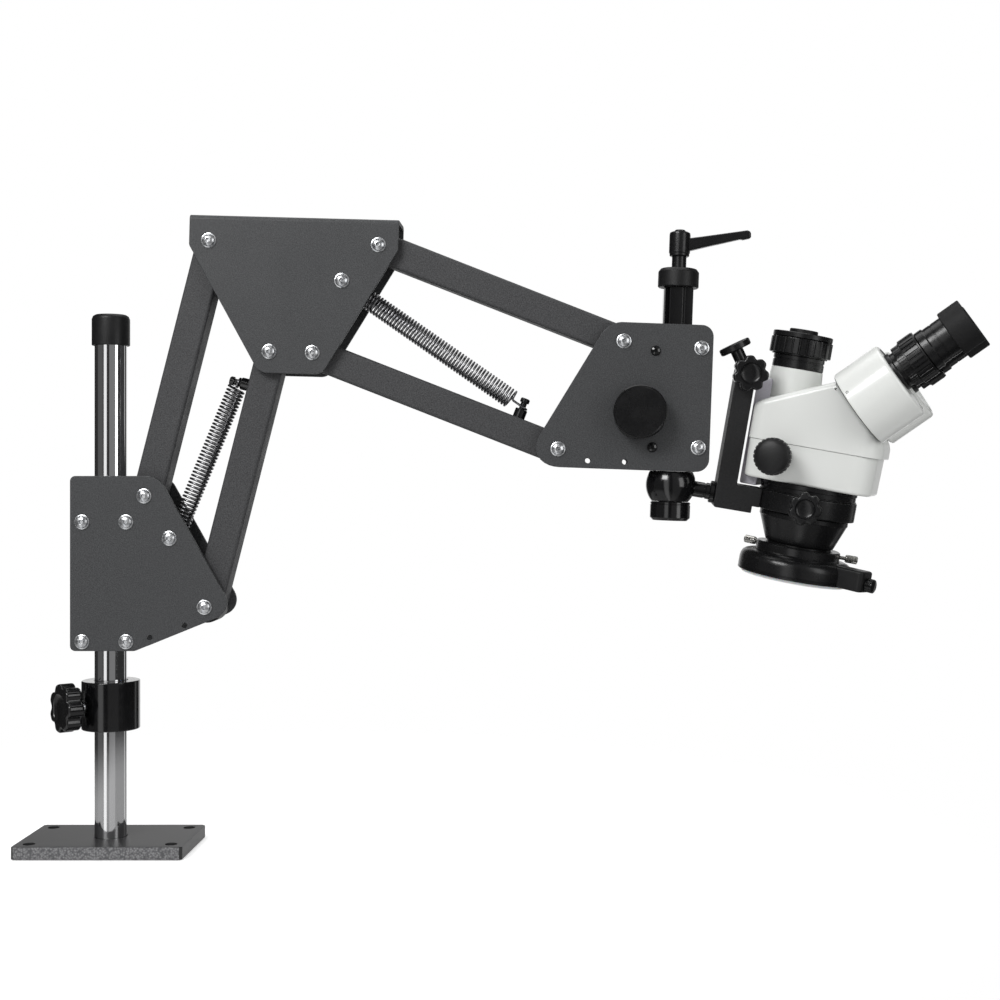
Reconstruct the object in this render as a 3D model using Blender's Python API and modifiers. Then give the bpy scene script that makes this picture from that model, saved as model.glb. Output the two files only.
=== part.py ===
# Trinocular stereo microscope on a spring-balanced parallelogram arm.
# Metres, +Z up. The origin is the middle of the base plate's underside, under the pole.
# +X is the way the arm reaches, and -Y is the side the arm is seen from.

from math import acos, asin, atan2, cos, pi, radians, sin, sqrt, tan

import bmesh
import bpy
from mathutils import Matrix, Vector

# Fits
GAP = 0.0003
BACKLASH = 0.00024

# Base plate
BASE_WIDTH = 0.158
BASE_DEPTH = 0.096
BASE_THICKNESS = 0.012
BASE_HOLE_INSET = 0.013
BASE_HOLE_DIAMETER = 0.0070
BASE_RECESS_DIAMETER = 0.011
BASE_RECESS_DEPTH = 0.004
BASE_CORNER_CHAMFER = 0.0025
POLE_SOCKET_DEPTH = 0.008

# Pole and its cap
POLE_DIAMETER = 0.030
POLE_WALL = 0.003
POLE_LENGTH = 0.500
CAP_DIAMETER = 0.0352
CAP_HEIGHT = 0.030
CAP_CROWN = 0.003

# Stop collar
COLLAR_DIAMETER = 0.054
COLLAR_HEIGHT = 0.046
COLLAR_CENTRE_Z = 0.137
COLLAR_KNOB_TURN = radians(50)
COLLAR_KNOB_RADIUS = 0.023
COLLAR_KNOB_THICKNESS = 0.016
COLLAR_SCREW_DIAMETER = 0.008
COLLAR_SCREW_STANDOFF = 0.008

# Plates of the carriage, the knee and the head
PLATE_THICKNESS = 0.004
PLATE_SPACE = 0.0372
PLATE_FACE = PLATE_SPACE / 2 + PLATE_THICKNESS
PLATE_MIDDLE = PLATE_SPACE / 2 + PLATE_THICKNESS / 2
BUSH_LENGTH = 0.095

# Bolts
PIVOT_DIAMETER = 0.008
FIXED_BOLT_DIAMETER = 0.006
BOLT_HEAD_DIAMETER = 0.014
BOLT_HEAD_HEIGHT = 0.0045
BOLT_NUT_HEIGHT = 0.0065

# Arm links
LINK_LENGTH = 0.247
LINK_WIDTH = 0.0285
LINK_DEPTH = 0.027
LINK_CORNER = 0.002
LINK_END_DIAMETER = 0.031
LINK_BUSH_DIAMETER = 0.017
LOWER_LEAN = radians(14.2)
UPPER_DROOP = radians(21.4)
KNEE_SAG = radians(1.5)
HEAD_SAG = radians(2.1)
PIVOT_SPREAD = 0.1185
PIVOT_SPREAD_ANGLE = radians(30)

# Carriage
PIVOT_A = (0.0375, 0.335)
CARRIAGE_LEFT = -0.032
CARRIAGE_TOP = 0.3538
CARRIAGE_BOTTOM = 0.1897
CARRIAGE_SHOULDER = 0.0505
CARRIAGE_TOE = (0.1216, 0.2274)
CARRIAGE_HEEL = 0.0286
GUIDE_BOLT_Z = (0.3107, 0.1986)
GUIDE_SPACER_DIAMETER = 0.0106
LOWER_SPRING_ANCHOR = (0.0612, 0.2954)
SPARE_HOLE_DIAMETER = 0.0052
CARRIAGE_SPARE_HOLES = ((0.0427, 0.2025), (0.0753, 0.2139))

# Knee housing, in its own frame with pivot C at the origin
KNEE_PIVOT_SPAN = 0.159
KNEE_HALF_WIDTH = 0.098
KNEE_TOP = 0.0241
KNEE_SIDE_DROP = 0.0045
KNEE_BOTTOM = 0.1226
KNEE_BOTTOM_HALF = 0.0295
KNEE_BEND_RADIUS = 0.0045
UPPER_SPRING_ANCHOR = (0.1255, -0.0344)

# Head plates, in their own frame with pivot G at the origin
HEAD_TOP = 0.0178
HEAD_RIGHT = 0.0838
HEAD_BOTTOM = 0.120
HEAD_SLANT_TOP = -0.0147
HEAD_SLANT_BOTTOM = -0.0922
HEAD_SPARE_HOLES = ((-0.0298, -0.1130), (0.0049, -0.1130))
ROLLER_BOLT_X = 0.0730
ROLLER_BOLT_Z = (-0.0040, -0.0973)

# Springs
SPRING_DIAMETER = 0.0155
SPRING_WIRE = 0.0022
SPRING_STEPS = 6
POST_DIAMETER = 0.006
POST_LENGTH = 0.0165
POST_HEAD_DIAMETER = 0.011
POST_HEAD_LENGTH = 0.003
HOOK_HEIGHT = 0.0085
LOWER_POST_ALONG = 0.2119
UPPER_POST_ALONG = 0.2009
LOWER_SPRING_TURNS = 16
UPPER_SPRING_TURNS = 26
SPRING_TAIL = 0.012

# Focus slide on the head
COLUMN_X = 0.05025
COLUMN_WIDTH = 0.0275
COLUMN_DEPTH = 0.026
COLUMN_TOP = 0.0539
DOVETAIL_LENGTH = 0.0058
DOVETAIL_WIDE = 0.021
DOVETAIL_NARROW = 0.015
COLUMN_GROOVE_X = 0.0552
COLUMN_GROOVE_WIDTH = 0.0022
COLUMN_GROOVE_DEPTH = 0.0016
COLUMN_CAP_DIAMETER = 0.0387
COLUMN_CAP_HEIGHT = 0.018
GEAR_MODULE = 0.001
PINION_TEETH = 16
PINION_X = 0.0170
PINION_Z = -0.0665
GEAR_WIDTH = 0.008
GEAR_TIP = 0.0009
GEAR_ROOT = 0.0012
RACK_TEETH = 18
RACK_TEETH_BELOW = 4
FOCUS_SHAFT_DIAMETER = 0.008
FOCUS_KNOB_DIAMETER = 0.0498
FOCUS_KNOB_THICKNESS = 0.020
FOCUS_KNOB_STANDOFF = 0.002
FOCUS_BLOCK_LEFT = 0.002
FOCUS_BLOCK_TOP = 0.004
FOCUS_BLOCK_BOTTOM = -0.105
FOCUS_BLOCK_NOTCH = (0.0205, -0.020)
FOCUS_SLOT_LEFT = 0.0075
FOCUS_SLOT_WIDTH = 0.0092
FOCUS_JAW_SPACE = 0.0008

# Clamp lever on the column
LEVER_STEM_DIAMETER = 0.0138
LEVER_STEM_HEIGHT = 0.0114
LEVER_HUB_DIAMETER = 0.020
LEVER_HUB_HEIGHT = 0.0235
LEVER_REACH = 0.069
LEVER_RISE = radians(12.2)
LEVER_ROOT_DIAMETER = 0.0115
LEVER_TIP_DIAMETER = 0.0075
LEVER_SPIGOT_DIAMETER = 0.006
LEVER_SPIGOT_LENGTH = 0.008

# Ball joint under the column
BALL_DROP = 0.133
BALL_HOUSING_DIAMETER = 0.048
BALL_DIAMETER = 0.022
BALL_SLOT_WIDTH = 0.0176
BALL_SLOT_RISE = 0.0073
BALL_CAP_DIAMETER = 0.0382
BALL_CAP_START = 0.016
BALL_CAP_HEIGHT = 0.0178
STUD_DIAMETER = 0.015
STUD_NUT_DIAMETER = 0.021
STUD_NUT_THICKNESS = 0.0045
STUD_END_DIAMETER = 0.010
STUD_END_LENGTH = 0.014

# Scope bracket, in the frame of the ring's middle
SCOPE_TILT = radians(9.6)
SCOPE_LEAN = radians(4.0)
SCOPE_YAW = radians(18.0)
RING_REACH = 0.1297
RING_RISE = 0.0027
RING_DIAMETER = 0.094
RING_BORE = 0.0766
RING_HEIGHT = 0.018
ARM_OUTER = -0.0880
ARM_INNER = -0.0695
ARM_DEPTH = 0.032
ARM_FOOT_BOTTOM = -0.0155
ARM_FOOT_TOP = 0.0086
ARM_HUB = (-0.0765, 0.1135)
ARM_HUB_DIAMETER = 0.023
ARM_KNOB_RADIUS = 0.0168
ARM_KNOB_THICKNESS = 0.014
TOP_KNOB_TURN = radians(35)
TOP_KNOB_DIAMETER = 0.0306
TOP_KNOB_THICKNESS = 0.0066
TOP_KNOB_REACH = 0.0275
RING_KNOB_RADIUS = 0.0155
RING_KNOB_THICKNESS = 0.014
RING_KNOB_TURN = radians(8.5)
CLAMP_SCREW_DIAMETER = 0.006
CLAMP_SCREW_STANDOFF = 0.010
CLAMP_SCREW_DEPTH = 0.008

# Microscope body, in the frame of the ring's middle, +X towards the eyepieces
BODY_REAR = -0.058
BODY_FRONT = 0.062
BODY_REAR_HALF = 0.042
BODY_MID_HALF = 0.047
BODY_FRONT_HALF = 0.038
BODY_BOTTOM = 0.019
BODY_SEAM = 0.055
COVER_FRONT = 0.066
COVER_REAR_TOP = 0.089
COVER_PEAK_X = 0.0154
COVER_FACE_REACH = 0.1349
COVER_ROUND = 0.006
FLANGE_DIAMETER = 0.092
LIGHT_PATH_DIAMETER = 0.048
SPINE_REAR = -0.063
SPINE_WIDTH = 0.040
SPINE_BOTTOM = 0.0105
SPINE_CLEARANCE = 0.001
SPINE_FOOT_FRONT = -FLANGE_DIAMETER / 2 - SPINE_CLEARANCE
SPINE_TOP = 0.113
SPINE_TOP_FRONT = -0.044
CONE_TOP_DIAMETER = 0.084
CONE_BAND = 0.005
CONE_FOOT_DIAMETER = 0.061
CONE_SHOULDER_DIAMETER = 0.064
CONE_LENGTH = 0.028
OBJECTIVE_LENGTH = 0.0165
LENS_DIAMETER = 0.048
LENS_RECESS = 0.004

# Third optical port
PORT_X = -0.031
PORT_TUBE_DIAMETER = 0.052
PORT_TUBE_TOP_DIAMETER = 0.049
PORT_TUBE_TOP = 0.125
PORT_SEAT_Z = 0.080
PORT_COLLAR_DIAMETER = 0.0486
PORT_COLLAR_TOP = 0.137
PORT_NECK_DIAMETER = 0.036
PORT_RING_DIAMETER = 0.0584
PORT_RING_TOP = 0.159
PORT_BORE = 0.023
PORT_CAP_DIAMETER = 0.027
PORT_CAP_TOP = 0.163
PORT_PLUG_DEPTH = 0.012

# Binocular head
EYE_ANGLE = radians(45)
DRUM_OFFSET = 0.039
DRUM_RISE = 0.0592
DRUM_DIAMETER = 0.076
DRUM_LENGTH = 0.0475
DRUM_PIVOT_DIAMETER = 0.024
DRUM_PIVOT_LENGTH = 0.009
EYE_RAISE = 0.008
EYE_INSET = 0.008
EYE_TUBE_DIAMETER = 0.035
EYE_TUBE_LENGTH = 0.031
EYE_BORE_DIAMETER = 0.0304
DIOPTER_START = 0.0066
DIOPTER_END = 0.0308
DIOPTER_SKIRT = 0.0078
DIOPTER_DIAMETER = 0.0456
DIOPTER_SKIRT_DIAMETER = 0.0415
EYEPIECE_SHOULDER_DIAMETER = 0.0398
EYEPIECE_SHOULDER = 0.0078
EYEPIECE_BARREL_DIAMETER = 0.037
EYEPIECE_BARREL = 0.019
EYEPIECE_SPIGOT = 0.022
EYECUP_DIAMETER = 0.0452
EYECUP_LENGTH = 0.022
EYECUP_WALL = 0.0036
EYECUP_DEPTH = 0.012

# Zoom drive
ZOOM_X = -0.026
ZOOM_Z = 0.042
ZOOM_KNOB_DIAMETER = 0.0346
ZOOM_KNOB_OUT = 0.078
ZOOM_KNOB_RIM = 0.011
ZOOM_HUB_DIAMETER = 0.026
ZOOM_SHAFT_DIAMETER = 0.008

# Ring light
LIGHT_TOP = -0.0395
LIGHT_COLLAR_DIAMETER = 0.080
LIGHT_COLLAR_HEIGHT = 0.0088
LIGHT_DIAMETER = 0.107
LIGHT_BODY_HEIGHT = 0.0205
DIFFUSER_INNER = 0.066
DIFFUSER_OUTER = 0.100
DIFFUSER_HEIGHT = 0.0025
THUMBSCREW_ANGLES = (radians(12), radians(90), radians(165))
THUMBSCREW_HEAD_DIAMETER = 0.0075
THUMBSCREW_HEAD = 0.012
THUMBSCREW_SHANK_DIAMETER = 0.0035
THUMBSCREW_SHANK = 0.005
SWITCH_TURN = radians(-18)
SWITCH_BLOCK_WIDTH = 0.024
SWITCH_BLOCK_REACH = 0.076
SWITCH_BLOCK_CORNER = 0.006
SWITCH_KNOB_DIAMETER = 0.013
SWITCH_KNOB_LENGTH = 0.008


def on_arm(start, length, angle):
    """The far end of a link, in X and Z, at an angle up from +X."""
    return (start[0] + length * cos(angle), start[1] + length * sin(angle))


def tilted(origin, local, sag):
    """A point of a frame that sags to the right, in the row's X and Z."""
    return (origin[0] + local[0] * cos(sag) + local[1] * sin(sag),
            origin[1] - local[0] * sin(sag) + local[1] * cos(sag))


# The parallelogram: the same spread of pivots at both ends of two equal links
KNEE_D = (PIVOT_SPREAD * sin(PIVOT_SPREAD_ANGLE), -PIVOT_SPREAD * cos(PIVOT_SPREAD_ANGLE))
KNEE_F = (KNEE_PIVOT_SPAN - KNEE_D[0], KNEE_D[1])
PIVOT_B = tilted(PIVOT_A, KNEE_D, KNEE_SAG)
PIVOT_C = on_arm(PIVOT_A, LINK_LENGTH, pi / 2 - LOWER_LEAN)
PIVOT_E = tilted(PIVOT_C, (KNEE_PIVOT_SPAN, 0), KNEE_SAG)
PIVOT_F = tilted(PIVOT_C, KNEE_F, KNEE_SAG)
PIVOT_G = on_arm(PIVOT_E, LINK_LENGTH, -UPPER_DROOP)
PIVOT_H = on_arm(PIVOT_F, LINK_LENGTH, -UPPER_DROOP)
HEAD_H = tilted((0, 0), (PIVOT_H[0] - PIVOT_G[0], PIVOT_H[1] - PIVOT_G[1]), -HEAD_SAG)

# Edges that several pieces share
COLUMN_LEFT = COLUMN_X - COLUMN_WIDTH / 2
COLUMN_RIGHT = COLUMN_X + COLUMN_WIDTH / 2
COLUMN_SHOULDER = COLUMN_LEFT + DOVETAIL_LENGTH
ROLLER_DIAMETER = 2 * (ROLLER_BOLT_X - COLUMN_RIGHT - GAP)
CONE_START = -RING_HEIGHT / 2 - 2 * GAP
OBJECTIVE_BOTTOM = CONE_START - CONE_LENGTH - OBJECTIVE_LENGTH
LIGHT_BOTTOM = LIGHT_TOP - LIGHT_COLLAR_HEIGHT - LIGHT_BODY_HEIGHT

# Scene set-up
for old in list(bpy.data.objects):
    bpy.data.objects.remove(old, do_unlink=True)
parts = bpy.data.collections.new("stereo_microscope")
cutters = bpy.data.collections.new("cutters")
bpy.context.scene.collection.children.link(parts)
bpy.context.scene.collection.children.link(cutters)


def material(name, colour, roughness, metallic):
    made = bpy.data.materials.new(name)
    made.use_nodes = True
    shader = made.node_tree.nodes["Principled BSDF"]
    shader.inputs["Base Color"].default_value = (*colour, 1.0)
    shader.inputs["Roughness"].default_value = roughness
    shader.inputs["Metallic"].default_value = metallic
    made.diffuse_color = (*colour, 1.0)
    return made


CHARCOAL = material("charcoal_powder_coat", (0.045, 0.046, 0.048), 0.6, 0.0)
BASE_PAINT = material("base_paint", (0.10, 0.10, 0.11), 0.55, 0.2)
CHROME = material("chrome", (0.75, 0.75, 0.76), 0.08, 1.0)
ZINC = material("bright_zinc", (0.72, 0.74, 0.76), 0.25, 1.0)
SPRING_STEEL = material("spring_steel", (0.45, 0.45, 0.46), 0.35, 1.0)
GLOSS_BLACK = material("gloss_black", (0.012, 0.012, 0.013), 0.2, 0.0)
SATIN_BLACK = material("satin_black", (0.02, 0.02, 0.021), 0.45, 0.0)
NYLON = material("nylon", (0.55, 0.53, 0.48), 0.5, 0.0)
BODY_WHITE = material("body_white", (0.80, 0.82, 0.79), 0.3, 0.0)
SPINE_GREY = material("spine_grey", (0.55, 0.54, 0.60), 0.45, 0.0)
RUBBER = material("rubber", (0.015, 0.015, 0.016), 0.8, 0.0)
DIFFUSER_WHITE = material("diffuser_white", (0.85, 0.86, 0.88), 0.5, 0.0)


def turn_about(axis, angle):
    return Matrix.Rotation(angle, 3, axis)


# Local +Z to -Y, local +Y to -Y with +X kept, and an outline in Y and Z run along X
TO_VIEWER = turn_about("X", pi / 2)
TO_BACK = turn_about("X", -pi / 2)
TO_RIGHT = turn_about("Y", pi / 2)
ALONG_X = Matrix(((0, 0, 1), (1, 0, 0), (0, 1, 0)))


def facing(direction):
    """A rotation that takes +Z to a direction."""
    return Vector(direction).to_track_quat("Z", "Y").to_matrix()


def placed(place, turn):
    rotation = turn.to_4x4() if turn else Matrix.Identity(4)
    return Matrix.Translation(Vector(place)) @ rotation


def frame(name, place, parent=None, turn=None):
    """An empty that carries pieces in their own coordinates."""
    empty = bpy.data.objects.new(name, None)
    parts.objects.link(empty)
    empty.parent = parent
    empty.matrix_local = placed(place, turn)
    return empty


def add(name, mesh, paint, parent=None, place=(0, 0, 0), turn=None):
    piece = bpy.data.objects.new(name, mesh)
    parts.objects.link(piece)
    piece.parent = parent
    piece.matrix_local = placed(place, turn)
    if paint:
        mesh.materials.append(paint)
    return piece


def combine(target, piece, operation):
    parts.objects.unlink(piece)
    cutters.objects.link(piece)
    piece.hide_render = True
    piece.display_type = "WIRE"
    boolean = target.modifiers.new(operation.lower(), "BOOLEAN")
    boolean.operation = operation
    boolean.object = piece
    boolean.solver = "EXACT"


def cut(target, piece):
    combine(target, piece, "DIFFERENCE")


def fuse(target, piece):
    combine(target, piece, "UNION")


def finished(shape, name):
    bmesh.ops.recalc_face_normals(shape, faces=shape.faces)
    mesh = bpy.data.meshes.new(name)
    shape.to_mesh(mesh)
    shape.free()
    return mesh


def prism(outline, low, high):
    """A closed shape with a flat outline in X and Y, from one height to another."""
    shape = bmesh.new()
    bottom = [shape.verts.new((x, y, low)) for x, y in outline]
    top = [shape.verts.new((x, y, high)) for x, y in outline]
    shape.faces.new(bottom)
    shape.faces.new(top)
    for i in range(len(outline)):
        shape.faces.new((bottom[i - 1], bottom[i], top[i], top[i - 1]))
    bmesh.ops.recalc_face_normals(shape, faces=shape.faces)
    return shape


def prism_mesh(outline, low, high):
    return finished(prism(outline, low, high), "prism")


def box_mesh(low, high):
    outline = [(low[0], low[1]), (high[0], low[1]), (high[0], high[1]), (low[0], high[1])]
    return prism_mesh(outline, low[2], high[2])


def rod_mesh(diameter, low, high, sides=16):
    radius = diameter / 2
    outline = [(radius * cos(2 * pi * i / sides), radius * sin(2 * pi * i / sides))
               for i in range(sides)]
    return prism_mesh(outline, low, high)


def wire_mesh(path, diameter, sides=4):
    """Round wire swept along a path, with both ends closed."""
    shape = bmesh.new()
    points = [Vector(point) for point in path]
    across = None
    rings = []
    for i, point in enumerate(points):
        along = (points[min(i + 1, len(points) - 1)] - points[max(i - 1, 0)]).normalized()
        if across is None:
            across = along.orthogonal()
        across = (across - along * across.dot(along)).normalized()
        other = along.cross(across)
        ring = []
        for k in range(sides):
            angle = 2 * pi * k / sides
            ring.append(shape.verts.new(point + (across * cos(angle) + other * sin(angle)) * diameter / 2))
        rings.append(ring)
    for first, second in zip(rings, rings[1:]):
        for k in range(sides):
            shape.faces.new((first[k - 1], first[k], second[k], second[k - 1]))
    shape.faces.new(rings[0])
    shape.faces.new(rings[-1])
    return finished(shape, "wire")


def turned(name, points, paint, parent=None, place=(0, 0, 0), turn=None, closed=False, steps=18):
    """A turned piece: (radius, height) down its outer side, about its own Z axis."""
    edges = [(i, i + 1) for i in range(len(points) - 1)]
    if closed:
        edges.append((len(points) - 1, 0))
    mesh = bpy.data.meshes.new("profile")
    mesh.from_pydata([(radius, 0.0, height) for radius, height in points], edges, [])
    piece = add(name, mesh, paint, parent, place, turn)
    screw = piece.modifiers.new("turn", "SCREW")
    screw.angle = 2 * pi
    screw.steps = steps
    screw.render_steps = steps
    screw.use_merge_vertices = True
    screw.merge_threshold = 0.00001
    return piece


def arc(centre, radius, start, end, steps):
    return [(centre[0] + radius * cos(start + (end - start) * i / steps),
             centre[1] + radius * sin(start + (end - start) * i / steps))
            for i in range(steps + 1)]


def rounded(corners, steps=4):
    """An outline from (x, y, radius) corners, each rounded by a true arc."""
    outline = []
    for i, (x, y, radius) in enumerate(corners):
        if radius == 0:
            outline.append((x, y))
            continue
        here = Vector((x, y))
        before = (Vector(corners[i - 1][:2]) - here).normalized()
        after = (Vector(corners[(i + 1) % len(corners)][:2]) - here).normalized()
        half = acos(before.dot(after)) / 2
        centre = here + (before + after).normalized() * (radius / sin(half))
        start = here + before * (radius / tan(half)) - centre
        end = here + after * (radius / tan(half)) - centre
        first = atan2(start.y, start.x)
        sweep = (atan2(end.y, end.x) - first + pi) % (2 * pi) - pi
        outline += arc(centre, radius, first, first + sweep, steps)
    return outline


def lobed(radius, lobes, depth, points):
    """A round outline with lobes or ribs of a given depth."""
    outline = []
    for i in range(lobes * points):
        angle = 2 * pi * i / (lobes * points)
        reach = radius - depth * (0.5 - 0.5 * cos(lobes * angle))
        outline.append((reach * cos(angle), reach * sin(angle)))
    return outline


def plate(name, outline, paint, parent, middle, thickness=PLATE_THICKNESS):
    """An outline drawn in X and Z, its thickness along Y about a middle plane."""
    mesh = prism_mesh(outline, -thickness / 2, thickness / 2)
    return add(name, mesh, paint, parent, (0, middle, 0), TO_VIEWER)


def bore(target, diameter, x, z, parent, sides=12):
    """A round hole right through along Y."""
    mesh = rod_mesh(diameter, -0.06, 0.06, sides)
    cut(target, add("bore", mesh, None, parent, (x, 0, z), TO_VIEWER))


def bolt(name, parent, x, z, shaft, front, back, spacer=0.0):
    """A button-head bolt along Y with its nut behind; front and back are its seats."""
    head = BOLT_HEAD_DIAMETER / 2
    profile = [(0, front + BOLT_HEAD_HEIGHT), (head * 0.6, front + BOLT_HEAD_HEIGHT * 0.85),
               (head, front + BOLT_HEAD_HEIGHT * 0.25), (head, front), (shaft / 2, front)]
    if spacer:
        reach = PLATE_SPACE / 2 - GAP
        profile += [(shaft / 2, reach), (spacer / 2, reach), (spacer / 2, -reach),
                    (shaft / 2, -reach)]
    profile += [(shaft / 2, -back), (head * 0.93, -back), (head * 0.93, -back - BOLT_NUT_HEIGHT),
                (0, -back - BOLT_NUT_HEIGHT)]
    return turned(name, profile, ZINC, parent, (x, 0, z), TO_VIEWER, steps=10)


def pivot_bolt(name, parent, x, z):
    seat = PLATE_FACE + GAP
    return bolt(name, parent, x, z, PIVOT_DIAMETER, seat, seat)


def fixed_bolt(target, parent, x, z, spacer=0.0):
    """A bolt that belongs to the front plate and passes through the back one."""
    sunk = PLATE_FACE - GAP
    fuse(target, bolt("fixed_bolt", parent, x, z, FIXED_BOLT_DIAMETER, sunk, PLATE_FACE + GAP, spacer))


def star_knob(name, radius, thickness, parent, face, screw, tip):
    """A seven-lobed knob on the frame's +Z axis, its screw reaching in to a tip."""
    back = face - thickness
    knob = add(name, prism_mesh(lobed(radius, 7, radius * 0.22, 5), back, face), GLOSS_BLACK, parent)
    boss = [(0, back + 0.002), (radius * 0.5, back + 0.002), (radius * 0.45, back - 0.004),
            (screw / 2, back - 0.004), (screw / 2, tip), (0, tip)]
    dish = [(0, face + 0.001), (radius * 0.46, face + 0.001), (radius * 0.40, face - 0.003),
            (0, face - 0.003)]
    fuse(knob, turned("boss", boss, None, parent, steps=12))
    cut(knob, turned("dish", dish, None, parent, steps=12))
    return knob


def screw_way(target, diameter, parent, low, high):
    """A round hole along the frame's Z axis."""
    cut(target, add("screw_way", rod_mesh(diameter + 2 * GAP, low, high, 12), None, parent))


def base_plate():
    half_x = BASE_WIDTH / 2
    half_y = BASE_DEPTH / 2
    chamfer = BASE_CORNER_CHAMFER
    outline = [(chamfer - half_x, -half_y), (half_x - chamfer, -half_y), (half_x, chamfer - half_y),
               (half_x, half_y - chamfer), (half_x - chamfer, half_y), (chamfer - half_x, half_y),
               (-half_x, half_y - chamfer), (-half_x, chamfer - half_y)]
    foot = add("base_plate", prism_mesh(outline, 0, BASE_THICKNESS), BASE_PAINT)
    socket = rod_mesh(POLE_DIAMETER + 2 * GAP, BASE_THICKNESS - POLE_SOCKET_DEPTH, BASE_THICKNESS + 0.01, 24)
    cut(foot, add("socket", socket, None))
    above = BASE_THICKNESS + 0.001
    shelf = BASE_THICKNESS - BASE_RECESS_DEPTH
    profile = [(0, above), (BASE_RECESS_DIAMETER / 2, above), (BASE_RECESS_DIAMETER / 2, shelf),
               (BASE_HOLE_DIAMETER / 2, shelf), (BASE_HOLE_DIAMETER / 2, -0.001), (0, -0.001)]
    for side in (-1, 1):
        for end in (-1, 1):
            x = side * (half_x - BASE_HOLE_INSET)
            y = end * (half_y - BASE_HOLE_INSET)
            cut(foot, turned("screw_hole", profile, None, None, (x, y, 0), steps=12))


def pole_and_cap():
    foot = BASE_THICKNESS - POLE_SOCKET_DEPTH + GAP
    outer = POLE_DIAMETER / 2
    inner = outer - POLE_WALL
    top = foot + POLE_LENGTH
    turned("pole", [(outer, top), (outer, foot), (inner, foot), (inner, top)], CHROME,
           closed=True, steps=24)
    radius = CAP_DIAMETER / 2
    crown = top + GAP + CAP_CROWN
    skirt = crown - CAP_HEIGHT
    fit = outer + GAP
    turned("pole_cap", [(0, crown), (radius - 0.004, crown - 0.0003), (radius - 0.0012, crown - 0.0015),
                        (radius, crown - 0.004), (radius, skirt), (fit, skirt), (fit, top + GAP),
                        (0, top + GAP)], SATIN_BLACK, steps=24)


def stop_collar():
    outer = COLLAR_DIAMETER / 2
    inner = POLE_DIAMETER / 2 + GAP
    half = COLLAR_HEIGHT / 2
    edge = 0.0012
    middle = (0, 0, COLLAR_CENTRE_Z)
    collar = turned("stop_collar", [(outer - edge, half), (outer, half - edge), (outer, edge - half),
                                    (outer - edge, -half), (inner, -half), (inner, half)],
                    GLOSS_BLACK, None, middle, closed=True, steps=24)
    outward = (-sin(COLLAR_KNOB_TURN), -cos(COLLAR_KNOB_TURN), 0)
    axis = frame("collar_knob_axis", middle, None, facing(outward))
    screw_way(collar, COLLAR_SCREW_DIAMETER, axis, inner * 0.7, outer + 0.01)
    face = outer + COLLAR_SCREW_STANDOFF + COLLAR_KNOB_THICKNESS
    star_knob("collar_knob", COLLAR_KNOB_RADIUS, COLLAR_KNOB_THICKNESS, axis, face,
              COLLAR_SCREW_DIAMETER, inner + GAP)


def pole_bush():
    inner = POLE_DIAMETER / 2 + GAP
    outer = PLATE_SPACE / 2 - GAP
    middle = sum(GUIDE_BOLT_Z) / 2
    half = BUSH_LENGTH / 2
    turned("pole_bush", [(outer, middle + half), (outer, middle - half), (inner, middle - half),
                         (inner, middle + half)], NYLON, closed=True, steps=20)


def carriage():
    corners = [(CARRIAGE_LEFT, CARRIAGE_TOP, 0.005), (CARRIAGE_LEFT, CARRIAGE_BOTTOM, 0.005),
               (CARRIAGE_HEEL, CARRIAGE_BOTTOM, 0.010), (*CARRIAGE_TOE, 0.0155),
               (CARRIAGE_SHOULDER, CARRIAGE_TOP, 0.018)]
    guide_x = POLE_DIAMETER / 2 + GAP + GUIDE_SPACER_DIAMETER / 2
    guides = [(side * guide_x, z) for z in GUIDE_BOLT_Z for side in (-1, 1)]
    front = plate("carriage_plate_front", rounded(corners), CHARCOAL, None, -PLATE_MIDDLE)
    back = plate("carriage_plate_back", rounded(corners), CHARCOAL, None, PLATE_MIDDLE)
    for piece in (front, back):
        for x, z in (PIVOT_A, PIVOT_B):
            bore(piece, PIVOT_DIAMETER + 2 * GAP, x, z, None)
        for x, z in CARRIAGE_SPARE_HOLES:
            bore(piece, SPARE_HOLE_DIAMETER, x, z, None, sides=10)
    for x, z in guides:
        bore(back, FIXED_BOLT_DIAMETER + 2 * GAP, x, z, None, sides=10)
        fixed_bolt(front, None, x, z, GUIDE_SPACER_DIAMETER)
    bore(back, FIXED_BOLT_DIAMETER + 2 * GAP, *LOWER_SPRING_ANCHOR, None, sides=10)
    fixed_bolt(front, None, *LOWER_SPRING_ANCHOR)
    pivot_bolt("pivot_bolt_a", None, *PIVOT_A)
    pivot_bolt("pivot_bolt_b", None, *PIVOT_B)


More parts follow.
